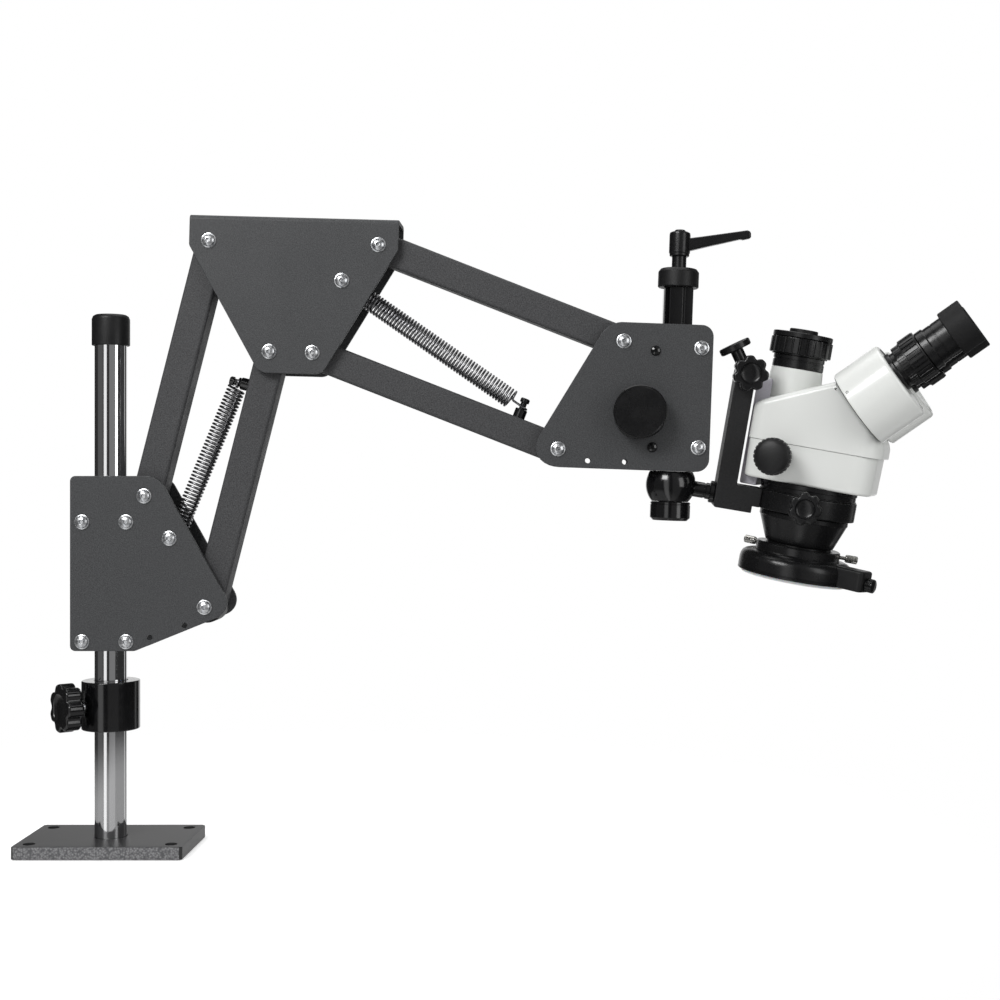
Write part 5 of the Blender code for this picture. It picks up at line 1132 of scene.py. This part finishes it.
for point in arm.verts:
    point.co.z *= 1.05 - 6.0 * max(0.0, point.co.x - 0.010)
arm_place = HEAD_PLACE @ at(COLUMN_X, 0, under + HUB_HEIGHT * LEVER_AT) @ about("Y", -LEVER_RISE)
piece("clamp_lever_arm", arm, arm_place @ TO_VIEWER, "black_alloy", "lever", sharp=50)

# %% [markdown]
# ## The ball joint
#
# A lacquered ball case hangs under the column with a slot for the stud, and a screwed cap under
# it clamps the ball. The case is turned as a hollow profile, and a block with a half-round top is
# taken away for the slot.

# %% Ball case
BALL_DROP, CASE, BALL, SLOT = 0.133, 0.048, 0.022, 0.0176
CASE_TOP, CASE_FOOT, CASE_STEPS, HOLLOW_STEPS = 0.013, -0.016, 28, 10
BALL_PLACE = HEAD_PLACE @ at(COLUMN_X, 0, -BALL_DROP)

outer, socket = CASE / 2, BALL / 2 + GAP
top, low = CASE_TOP - GAP, CASE_FOOT + GAP
start, end = asin(top / outer), asin(low / outer)
outside = [start + (end - start) * step / CASE_STEPS for step in range(CASE_STEPS + 1)]
inside = [pi / 2 * step / HOLLOW_STEPS for step in range(HOLLOW_STEPS)]
case = turned([(0, top)] + [(outer * cos(a), outer * sin(a)) for a in outside] + [(socket, low)]
              + [(socket * cos(a), socket * sin(a)) for a in inside] + [(0, socket)], 96)
slot = block((0, -SLOT / 2, -0.03), (0.04, SLOT / 2, 0.0))
slot = plus(slot, moved(rod(SLOT, 0, 0.04), TO_RIGHT))
piece("ball_case_shell", minus(case, slot), BALL_PLACE, "gloss_lacquer", "ball_case", "ball_housing",
      sharp=40)

# %% Ball cap
BALL_CAP, BALL_CAP_HEIGHT = 0.0382, 0.0178

radius, start = BALL_CAP / 2, CASE_FOOT
foot = start - BALL_CAP_HEIGHT
cap = turned([(0, -0.0113), (0.0080, -0.0113), (socket - GAP, -0.0150), (socket - GAP, start),
              (radius - 0.0008, start), (radius, start - 0.0008), (radius, start - 0.0020),
              (radius - 0.0005, start - 0.0023), (radius - 0.0005, start - 0.0027),
              (radius, start - 0.0030), (radius, foot + 0.0027), (radius - 0.0027, foot), (0, foot)], 96)
piece("ball_clamp_cap", cap, BALL_PLACE, "gloss_lacquer", "ball_case", "ball_cap", sharp=30)

# %% Ball stud with its flange nut
BALL_PITCH, BALL_ROLL = radians(9.6), radians(4.0)
RING_REACH, RING_RISE, ARM_OUTER = 0.1297, 0.0027, -0.0880
BALL_NECK, NUT_THICK = 0.0075, 0.0045
TILT = at(*BALL_PLACE.to_translation()) @ about("Y", BALL_PITCH) @ about("X", BALL_ROLL)

ball, neck, face = BALL / 2, BALL_NECK, RING_REACH + ARM_OUTER - GAP
nut_back = face - NUT_THICK
start = acos(neck / ball)
turns = [start - (start + pi / 2) * step / 20 for step in range(20)]
stud = turned([(0, face + 0.014), (0.0044, face + 0.014), (0.005, face + 0.0134), (0.005, face),
               (0.0096, face), (0.0105, face - 0.0006), (0.0105, nut_back + 0.0006), (0.0096, nut_back),
               (0.0078, nut_back), (0.0078, nut_back - 0.0035), (0.0070, nut_back - 0.0040),
               (0.0070, nut_back - 0.0050), (neck, nut_back - 0.0055)]
              + [(ball * cos(a), ball * sin(a)) for a in turns] + [(0, -ball)], 96)
piece("ball_stud_turned", stud, TILT @ TO_RIGHT, "gloss_lacquer", "stud", "ball_stud", sharp=30)

# %% [markdown]
# ## The scope bracket
#
# A flat upright arm with a round top carries two clamp knobs, and its foot turns in under the
# microscope to a bored ring. The arm and foot are painted like the plates and the ring is turned
# and anodised, so they are two pieces.

# %% Bracket
HUB, HUB_ACROSS, ARM_INNER, ARM_DEPTH = (-0.0765, 0.1135), 0.023, -0.0695, 0.032
FOOT_LOW, FOOT_HIGH = -0.0155, 0.0086
BORE, RING_OUT, RING_HALF, CONE_TOP = 0.0766, 0.094, 0.009, 0.084
RING_PLACE = TILT @ at(RING_REACH, 0, RING_RISE)
HUB_PLACE = RING_PLACE @ at(HUB[0], 0, HUB[1])

deep, foot_end, step_x = ARM_DEPTH / 2, -RING_OUT / 2 + 0.002, -CONE_TOP / 2 - 0.010
outline = [(ARM_OUTER, FOOT_LOW, 0.0025), (step_x, FOOT_LOW, 0.001), (step_x, -RING_HALF, 0.0005),
           (foot_end, -RING_HALF), (foot_end, FOOT_HIGH), (ARM_INNER, FOOT_HIGH, 0.002),
           (ARM_INNER, HUB[1]), (ARM_OUTER, HUB[1])]
upright = cut_plate(outline, -deep, deep)
upright = plus(upright, moved(rod(HUB_ACROSS, -deep, deep, 64), at(*HUB)))
upright = minus(upright, moved(rod(RING_OUT - 0.002, -0.03, 0.03, 96), TO_BACK))
soften(upright, 0.0009, 3, 50)
piece("bracket_upright", upright, RING_PLACE @ TO_VIEWER, "black_bracket_paint", "bracket",
      "scope_bracket", sharp=45)
ring = soften(sleeve(RING_OUT / 2, BORE / 2, -RING_HALF, RING_HALF, 128), 0.0010, 3)
piece("bracket_ring", ring, RING_PLACE, "black_alloy", "bracket", sharp=40)

# %% Clamp knobs of the bracket
CLAMP_SCREW, RING_KNOB_SIDE = 0.006, radians(8.5)
DISC_RADIUS, DISC_FACE, DISC_THICK, DISC_TURN = 0.0153, 0.0308, 0.0066, radians(35)

star_knob("bracket_star_knob_moulding", 0.0168, 0.014, deep + 0.020, CLAMP_SCREW, deep - 0.0077,
          HUB_PLACE @ TO_VIEWER, "star_screw", "bracket_star_knob")
outward = (-sin(RING_KNOB_SIDE), -cos(RING_KNOB_SIDE), 0)
star_knob("ring_star_knob_moulding", 0.0155, 0.014, RING_OUT / 2 + 0.024, CLAMP_SCREW,
          BORE / 2 + GAP, RING_PLACE @ facing(outward), "ring_screw", "ring_star_knob")
radius, face, back = DISC_RADIUS, DISC_FACE, DISC_FACE - DISC_THICK
disc = turned([(0, face - 0.0006), (radius - 0.0035, face - 0.0006), (radius - 0.0028, face),
               (radius - 0.0010, face), (radius, face - 0.0010), (radius, back + 0.0010),
               (radius - 0.0010, back), (0.0068, back), (0.0062, back - 0.0008), (0.0062, 0.0128),
               (0.003, 0.0125), (0.003, 0.0055), (0, 0.0055)], 64)
piece("bracket_disc_knob_turned", disc, HUB_PLACE @ about("Y", -DISC_TURN), "black_alloy",
      "disc_screw", "bracket_disc_knob", sharp=30)

# %% [markdown]
# ## The microscope's shell
#
# Seen from above, the shell is a long barrel with soft corners. The lower casting is that outline
# extruded, with a little draft. The cover starts the same way and is then sliced twice: once for
# the roof that climbs from the back, and once for the face at 45 degrees that takes the
# eyepieces. A wide bevel rounds the upper edges, and the cover's skirt stands proud at the seam.

# %% Shell
SCOPE = RING_PLACE @ about("Z", radians(-18.0))
BODY_REAR, BODY_FRONT, COVER_FRONT = -0.058, 0.062, 0.066
BODY_BOTTOM, SEAM, SKIRT = 0.019, 0.055, 0.0008
ROOF_REAR, PEAK, FACE_REACH = 0.089, 0.0154, 0.1349
DRAFT_X, DRAFT_Y = 0.985, 0.975


def shell_outline(front, grow=0.0):
    """The shell seen from above: a barrel with soft corners."""
    rear = BODY_REAR - grow
    return mirrored_over([(rear, 0.042 + grow, 0.013), (-0.006, 0.047 + grow, 0.34),
                          (front, 0.038 + grow, 0.019)])


def slice_off(shape, point, normal):
    """Takes away all that lies beyond a plane and closes the shape again."""
    bmesh.ops.bisect_plane(shape, geom=everything(shape), plane_co=point, plane_no=normal, clear_outer=True)
    rim = [edge for edge in shape.edges if edge.is_boundary]
    bmesh.ops.contextual_create(shape, geom=rim)
    bmesh.ops.recalc_face_normals(shape, faces=shape.faces)


def below(height):
    """A test for edges that lie wholly under a height."""
    return lambda edge: all(v.co.z < height for v in edge.verts)


lower = cut_plate(shell_outline(BODY_FRONT), BODY_BOTTOM, SEAM - GAP, fineness=12)
for point in lower.verts:
    if point.co.z < BODY_BOTTOM + 0.001:
        point.co.x *= DRAFT_X
        point.co.y *= DRAFT_Y
lower.normal_update()
soften(lower, 0.0028, 4, 50, only=below(BODY_BOTTOM + 0.001))
piece("lower_casting", lower, SCOPE, "white_enamel", "scope", "scope_lower_body", sharp=40)

cover = cut_plate(shell_outline(COVER_FRONT, SKIRT), SEAM, 0.2, fineness=12)
peak = Vector((PEAK, 0, FACE_REACH - PEAK))
slice_off(cover, peak, (-(peak.z - ROOF_REAR), 0, PEAK - BODY_REAR))
slice_off(cover, peak, (1, 0, 1))
cover.normal_update()
upper = [edge for edge in cover.edges if any(f.normal.z > 0.3 for f in edge.link_faces)]
bmesh.ops.bevel(cover, geom=upper, offset=0.006, segments=6, profile=0.5, affect="EDGES", material=-1)
soften(cover, 0.0007, 2, 60, only=below(SEAM + 0.0002))
piece("upper_shell", cover, SCOPE, "white_enamel", "scope", "upper_cover", sharp=30)

# %% Strip up the back
STRIP_REAR, STRIP_FRONT, STRIP_HALF, STRIP_FOOT = -0.063, -0.044, 0.020, 0.0105
STRIP_FOOT_FRONT = -0.047
PORT_X, PORT_FOOT = -0.031, 0.052

roof_slope = (peak.z - ROOF_REAR) / (PEAK - BODY_REAR)
front, roof, under = BODY_REAR - GAP, ROOF_REAR + 2 * GAP, BODY_BOTTOM - GAP
profile = [(STRIP_REAR, STRIP_FOOT, 0.002), (STRIP_FOOT_FRONT, STRIP_FOOT, 0.001),
           (STRIP_FOOT_FRONT, under), (front, under), (front, roof),
           (STRIP_FRONT, roof + roof_slope * (STRIP_FRONT - front)), (STRIP_FRONT, 0.109, 0.001),
           (-0.050, 0.113, 0.004), (-0.057, 0.110, 0.006), (STRIP_REAR, 0.101, 0.006)]
strip = moved(cut_plate(profile, -STRIP_HALF, STRIP_HALF), TO_VIEWER)
strip = minus(strip, moved(rod(PORT_FOOT + 2 * GAP, ROOF_REAR - 0.002, 0.2, 96), at(PORT_X)))
soften(strip, 0.0008, 3, 50)
# The strip's lilac grey finish is painted shade of the white shell.
piece("back_strip", strip, SCOPE, "lilac_painted_shade", "scope", "rear_spine", sharp=40)

# %% [markdown]
# ## Flange, objective and ring
#
# Under the shell a black flange seats in the bracket's ring. Below the ring the objective narrows
# in a cone to its tube, with a coated lens in the end. All of it is turned about one axis.

# %% Flange
FLANGE, LIGHT_PATH = 0.092, 0.048

outer, path, top = FLANGE / 2, LIGHT_PATH / 2, BODY_BOTTOM - GAP
seat, neck = RING_HALF + GAP, BORE / 2 - 0.0005
flange = turned([(outer, top), (outer, BODY_BOTTOM - 0.0040), (outer - 0.0008, BODY_BOTTOM - 0.0045),
                 (outer - 0.0008, seat + 0.0012), (outer, seat + 0.0008), (outer, seat), (neck, seat),
                 (neck, -seat), (path, -seat), (path, top)], 128, closed=True)
piece("seat_flange", flange, SCOPE, "black_alloy", "scope", "mount_flange", sharp=30)

# %% Objective
CONE_BAND, CONE_LENGTH, CONE_FOOT, CONE_TUBE = 0.005, 0.028, 0.061, 0.0165

start, wide = -RING_HALF - 2 * GAP, CONE_TOP / 2
band_foot, foot = start - CONE_BAND, start - CONE_LENGTH
tip, end, lens = CONE_FOOT / 2, foot - CONE_TUBE, 0.024
cone = turned([(0, start), (wide - 0.0006, start), (wide, start - 0.0006), (wide, band_foot + 0.0004),
               (wide - 0.0006, band_foot), (0.0330, foot + 0.0016), (0.032, foot), (tip, foot - 0.001),
               (tip, end + 0.0006), (tip - 0.0006, end), (lens + 0.0006, end), (lens, end + 0.0006),
               (lens, end + 0.004), (0, end + 0.004)], 128)
piece("objective_barrel", cone, SCOPE, "black_alloy", "scope", "objective_cone", sharp=30)
glass = turned([(0, end + 0.0012), (lens * 0.35, end + 0.0014), (lens * 0.7, end + 0.0021),
                (lens - 0.0002, end + 0.0033), (lens - 0.0002, end + 0.0042), (0, end + 0.0042)], 96)
piece("objective_lens", glass, SCOPE, "coated_glass", "scope", sharp=60)

# %% [markdown]
# ## Ribbed rings
#
# The focusing rings are gripped by flat ribs with narrow grooves between them. A circle with
# eight points to each rib is enough: two of the eight are drawn in to the groove's depth. The
# outline is then extruded and its rims are broken.

# %% Ribbed ring
POINTS_A_RIB = 8


def ribbed(radius, depth, ribs, low, high, edge, bore=0.0):
    """A ribbed drum between two heights, with softened rims and a bore or none."""
    shape = bmesh.new()
    count = ribs * POINTS_A_RIB
    bmesh.ops.create_circle(shape, cap_ends=True, segments=count, radius=radius, matrix=at(0, 0, low))
    for point in shape.verts:
        step = round(atan2(point.co.y, point.co.x) / (2 * pi) * count) % POINTS_A_RIB
        if step in (0, 1):
            point.co.x *= 1 - depth / radius
            point.co.y *= 1 - depth / radius
    raise_faces(shape, high - low)
    soften(shape, edge, 2, 80, only=lambda e: any(abs(f.normal.z) > 0.9 for f in e.link_faces))
    if bore:
        shape = minus(shape, rod(bore, low - 0.01, high + 0.01, 96))
    return shape


# %% Third port
PORT = SCOPE @ at(PORT_X)
PORT_BORE, PORT_COLLAR_BORE = 0.0115, 0.0184

tube = turned([(0.0242, 0.125), (0.0245, 0.1247), (0.0247, 0.1225), (0.026, 0.103), (0.026, 0.0803),
               (PORT_BORE, 0.0803), (PORT_BORE, 0.125)], 128, closed=True)
piece("port_tube_white", tube, PORT, "white_enamel", "scope", "trinocular_tube", sharp=30)
black = turned([(0.018, 0.1587), (0.018, 0.137), (0.0239, 0.137), (0.0243, 0.1366), (0.0243, 0.1335),
                (0.0236, 0.1332), (0.0236, 0.1322), (0.0243, 0.1319), (0.0243, 0.1258),
                (0.0239, 0.1253), (PORT_BORE, 0.1253), (PORT_BORE, 0.1587)], 128, closed=True)
piece("port_tube_black", black, PORT, "black_alloy", "scope", "port_tube", sharp=30)
ring = ribbed(0.0292, 0.0011, 26, 0.1385, 0.1535, 0.0007, bore=0.0366)
lip = turned([(0.0278, 0.159), (0.0284, 0.1584), (0.0284, 0.1545), (0.0278, 0.1539),
              (PORT_COLLAR_BORE, 0.1539), (PORT_COLLAR_BORE, 0.159)], 96, closed=True)
foot_lip = sleeve(0.0262, PORT_COLLAR_BORE, 0.1373, 0.1387)
piece("port_ring_ribbed", together(ring, lip, foot_lip), PORT, "black_alloy", "port_collar",
      "port_ring", sharp=30)
lid = turned([(0, 0.1626), (0.0100, 0.1626), (0.0105, 0.163), (0.0128, 0.163), (0.0135, 0.1624),
              (0.0135, 0.1598), (0.0130, 0.1593), (0.0112, 0.1593), (0.0112, 0.147), (0, 0.147)], 96)
piece("port_lid_turned", lid, PORT, "black_plastic", "port_lid", "port_cap", sharp=30)

# %% [markdown]
# ## The binocular head
#
# Two white drums turn on the slanted face, and each carries a black eye tube off its centre, a
# ribbed dioptre ring, and an eyepiece with a deep rubber cup. Both sides are the same, so each
# part has a function, and one loop calls them all with the offset mirrored.

# %% Drum
DRUM, DRUM_LENGTH, DRUM_OFFSET, DRUM_RISE = 0.076, 0.0475, 0.039, 0.0592
EYE_OFFSET, DRUM_SEAT = 0.008, 0.0724
MARK_TURN, MARK_RISE = radians(22.5), 0.0042


def drum(label, side, place, eye_place):
    """A white drum with its seat, its round mark and the eye tube that stands on it."""
    radius, length, body = DRUM / 2, DRUM_LENGTH, "drum_" + label
    shell = turned([(0, length - 0.0010), (radius - 0.0052, length - 0.0010), (radius - 0.0044, length),
                    (radius - 0.0030, length), (radius - 0.0016, length - 0.0004),
                    (radius - 0.0006, length - 0.0014), (radius, length - 0.0030), (radius, 0.0016),
                    (radius - 0.0005, 0.0007), (radius - 0.0016, 0.0002), (0, 0.0002)], 160)
    piece("drum_shell_" + label, shell, place, "white_enamel", body, "eyepiece_drum_" + label, sharp=35)
    seat = rod(DRUM_SEAT, -0.0002, 0.0006, 96)
    piece("drum_seat_" + label, seat, place, "black_plastic", body)
    mark = sleeve(0.0013, 0.0008, -0.0006, 0.0001, 24)
    mark_place = place @ about("Z", side * MARK_TURN) @ at(0, side * radius, MARK_RISE)
    piece("drum_mark_" + label, mark, mark_place @ (TO_VIEWER if side < 0 else TO_BACK),
          "black_alloy", body, sharp=30)
    tube = turned([(0.0152, 0.031), (0.0170, 0.031), (0.0175, 0.0305), (0.0175, 0.0030),
                   (0.0190, 0.0026), (0.0194, 0.0020), (0.0194, -0.0012), (0.0152, -0.0012)], 96,
                  closed=True)
    piece("eye_tube_" + label, tube, eye_place, "black_alloy", body, sharp=30)


# %% Dioptre ring
DIOPTRE_BORE, DIOPTRE_CUT = 0.0178, 0.0356


def dioptre_ring(label, place):
    """Wide ribs above, fine ribs below, a lip on top and a neck between them."""
    wide = ribbed(0.0228, 0.0011, 32, 0.0150, 0.0296, 0.0006, bore=DIOPTRE_CUT)
    fine = ribbed(0.02075, 0.0005, 48, 0.0068, 0.0142, 0.0004, bore=DIOPTRE_CUT)
    lip = turned([(0.0222, 0.0308), (0.0224, 0.0306), (0.0224, 0.0296), (DIOPTRE_BORE, 0.0296),
                  (DIOPTRE_BORE, 0.0308)], 96, closed=True)
    neck = sleeve(0.0214, DIOPTRE_BORE, 0.0141, 0.0151)
    piece("diopter_ribs_" + label, together(wide, fine, lip, neck), place, "black_alloy",
          "diopter_" + label, "diopter_ring_" + label, sharp=30)


# %% Eyepiece
EYEPIECE_START, EYEPIECE_STEP, EYEPIECE_LENGTH, CUP_HEIGHT = 0.0313, 0.0078, 0.0268, 0.022


def eyepiece(label, place):
    """The barrel that slides in the tube, its lens and its rubber cup."""
    start, body = EYEPIECE_START, "eye_" + label
    shoulder, foot = start + EYEPIECE_STEP, start + EYEPIECE_LENGTH
    top = foot + CUP_HEIGHT
    barrel = turned([(0, foot + 0.008), (0.0150, foot + 0.008), (0.0165, foot + 0.002), (0.0184, foot),
                     (0.0185, foot - 0.0004), (0.0185, foot - 0.0100), (0.0181, foot - 0.0103),
                     (0.0181, foot - 0.0112), (0.0185, foot - 0.0115), (0.0185, shoulder + 0.0006),
                     (0.0190, shoulder), (0.0194, shoulder), (0.0199, shoulder - 0.0006),
                     (0.0199, start + 0.0005), (0.0194, start), (0.0149, start),
                     (0.0149, start - 0.022), (0, start - 0.022)], 96)
    piece("eyepiece_barrel_" + label, barrel, place, "black_alloy", body, "eyepiece_" + label, sharp=30)
    glass = turned([(0, foot + 0.0098), (0.006, foot + 0.0095), (0.0112, foot + 0.0086),
                    (0.0112, foot + 0.0079), (0, foot + 0.0079)], 64)
    piece("eyepiece_lens_" + label, glass, place, "coated_glass", body, sharp=60)
    cup = turned([(0.0222, top - 0.0008), (0.0214, top), (0.0196, top), (0.0189, top - 0.0008),
                  (0.0182, top - 0.010), (0.0160, top - 0.0118), (0.0145, top - 0.0120),
                  (0.0145, foot + 0.0060), (0.0186, foot + 0.0002), (0.0190, foot - 0.0002),
                  (0.0214, foot), (0.0222, foot + 0.0010)], 96, closed=True)
    piece("eyecup_rubber_" + label, cup, place, "soft_rubber", body, sharp=40)


# %% Both sides of the binocular head
reach = FACE_REACH + GAP * sqrt(2)
for label, side in (("near", -1), ("far", 1)):
    foot = at((reach - DRUM_RISE) / 2, side * DRUM_OFFSET, (reach + DRUM_RISE) / 2)
    place = SCOPE @ foot @ about("Y", pi / 4)
    eye_place = place @ at(-EYE_OFFSET, -side * EYE_OFFSET, DRUM_LENGTH)
    drum(label, side, place, eye_place)
    dioptre_ring(label, eye_place)
    eyepiece(label, eye_place)

# %% [markdown]
# ## The zoom knobs
#
# One shaft runs across the lower casting with a knob on each end. The knob's face is a shallow
# dome, and its rim is ribbed for the fingers.

# %% Zoom
ZOOM = SCOPE @ at(-0.026, 0, 0.042)
ZOOM_FACE, ZOOM_HUB_BACK, ZOOM_RIM = 0.078, 0.048, 0.011
ZOOM_SHAFT, ZOOM_SHAFT_HALF = 0.008, 0.06

face, back, rim_back = ZOOM_FACE, ZOOM_HUB_BACK, ZOOM_FACE - ZOOM_RIM
for label, turn in (("near", TO_VIEWER), ("far", TO_BACK)):
    grip = ribbed(0.0173, 0.0007, 24, rim_back, face - 0.0030, 0.0009)
    dome = turned([(0, face), (0.006, face - 0.0002), (0.0110, face - 0.0009), (0.0142, face - 0.0019),
                   (0.0155, face - 0.0030), (0.0158, face - 0.0042), (0, face - 0.0042)], 96)
    hub = turned([(0.0130, rim_back + 0.001), (0.0130, back + 0.0006), (0.0124, back), (0, back),
                  (0, rim_back + 0.001)], 64, closed=True)
    piece("zoom_grip_" + label, together(grip, dome, hub), ZOOM @ turn, "black_plastic", "zoom",
          "zoom_knob_" + label, sharp=35)
shaft = rod(ZOOM_SHAFT, -ZOOM_SHAFT_HALF, ZOOM_SHAFT_HALF)
piece("zoom_shaft", shaft, ZOOM @ TO_VIEWER, "bright_zinc", "zoom")

# %% [markdown]
# ## The ring light
#
# A turned collar slips over the objective's tube and is held by three knurled thumbscrews. Under
# it the lamp's ring swells out to a round shoulder, and a small block on its side holds the
# dimmer. A white diffuser closes it below.

# %% Ring light
LIGHT_TOP, COLLAR_H, BODY_H, LIGHT_R, COLLAR_R = -0.0395, 0.0088, 0.0205, 0.0535, 0.040
LIGHT_BORE = 0.0308

step = LIGHT_TOP - COLLAR_H
low = step - BODY_H
body = turned([(LIGHT_BORE, LIGHT_TOP), (COLLAR_R - 0.0010, LIGHT_TOP), (COLLAR_R, LIGHT_TOP - 0.0010),
               (COLLAR_R, step + 0.0012), (COLLAR_R + 0.0008, step + 0.0002),
               (LIGHT_R - 0.0075, step - 0.0004), (LIGHT_R - 0.0045, step - 0.0014),
               (LIGHT_R - 0.0020, step - 0.0034), (LIGHT_R - 0.0006, step - 0.0062),
               (LIGHT_R, step - 0.0095), (LIGHT_R, low + 0.0034), (LIGHT_R - 0.0006, low + 0.0030),
               (LIGHT_R - 0.0006, low + 0.0024), (LIGHT_R, low + 0.0020), (LIGHT_R, low + 0.0006),
               (LIGHT_R - 0.0006, low), (LIGHT_BORE, low)], 160, closed=True)
piece("lamp_ring", body, SCOPE, "black_alloy", "scope", "ring_light", sharp=32)

# %% Diffuser
under = low - GAP
plate_ring = turned([(0.050, under), (0.050, under - 0.0016), (0.0490, under - 0.0025),
                     (0.0340, under - 0.0025), (0.033, under - 0.0016), (0.033, under)], 160,
                    closed=True)
piece("diffuser_ring", plate_ring, SCOPE, "white_diffuser", "scope", "diffuser", sharp=30)

# %% Switch block and dimmer
SWITCH = SCOPE @ about("Z", radians(-18))
SWITCH_HALF, SWITCH_REACH, SWITCH_CORNER = 0.012, 0.076, 0.005
DIMMER_RADIUS, DIMMER_LENGTH, DIMMER_RISE = 0.0065, 0.0072, 0.0075

outline = mirrored_over([(LIGHT_R - 0.010, SWITCH_HALF), (SWITCH_REACH, SWITCH_HALF, SWITCH_CORNER)])
box = soften(cut_plate(outline, low, step - 0.001), 0.0022, 4, 60)
piece("switch_block", box, SWITCH, "black_plastic", "scope", sharp=45)
start = SWITCH_REACH + GAP
knob = ribbed(DIMMER_RADIUS, 0.0005, 16, start, start + DIMMER_LENGTH, 0.0006)
cap = turned([(0, 0.0012), (0.0042, 0.0011), (0.0056, 0.0004), (0.0060, 0), (0, 0)], 40)
knob = together(knob, moved(cap, at(0, 0, start + DIMMER_LENGTH - 0.0004)))
piece("dimmer_grip", knob, SWITCH @ at(0, 0, low + DIMMER_RISE) @ TO_RIGHT, "gloss_lacquer",
      "dimmer", "dimmer_knob", sharp=35)

# %% Thumbscrews
THUMBSCREWS = (("front", 12), ("far", 90), ("rear", 165))

middle = LIGHT_TOP - COLLAR_H / 2
for label, degrees in THUMBSCREWS:
    place = SCOPE @ at(0, 0, middle) @ about("Z", radians(degrees)) @ TO_RIGHT
    head = ribbed(0.00375, 0.00035, 20, 0.0458, 0.0566, 0.0005)
    neck = turned([(0, 0.0460), (0.0030, 0.0460), (0.0030, 0.0450), (0.00175, 0.0450),
                   (0.00175, 0.0385), (0, 0.0385)], 24)
    end = turned([(0, 0.0570), (0.0024, 0.0570), (0.0030, 0.0565), (0, 0.0565)], 24)
    piece("thumbscrew_" + label, together(head, neck, end), place, "knurled_nickel", "scope", sharp=30)
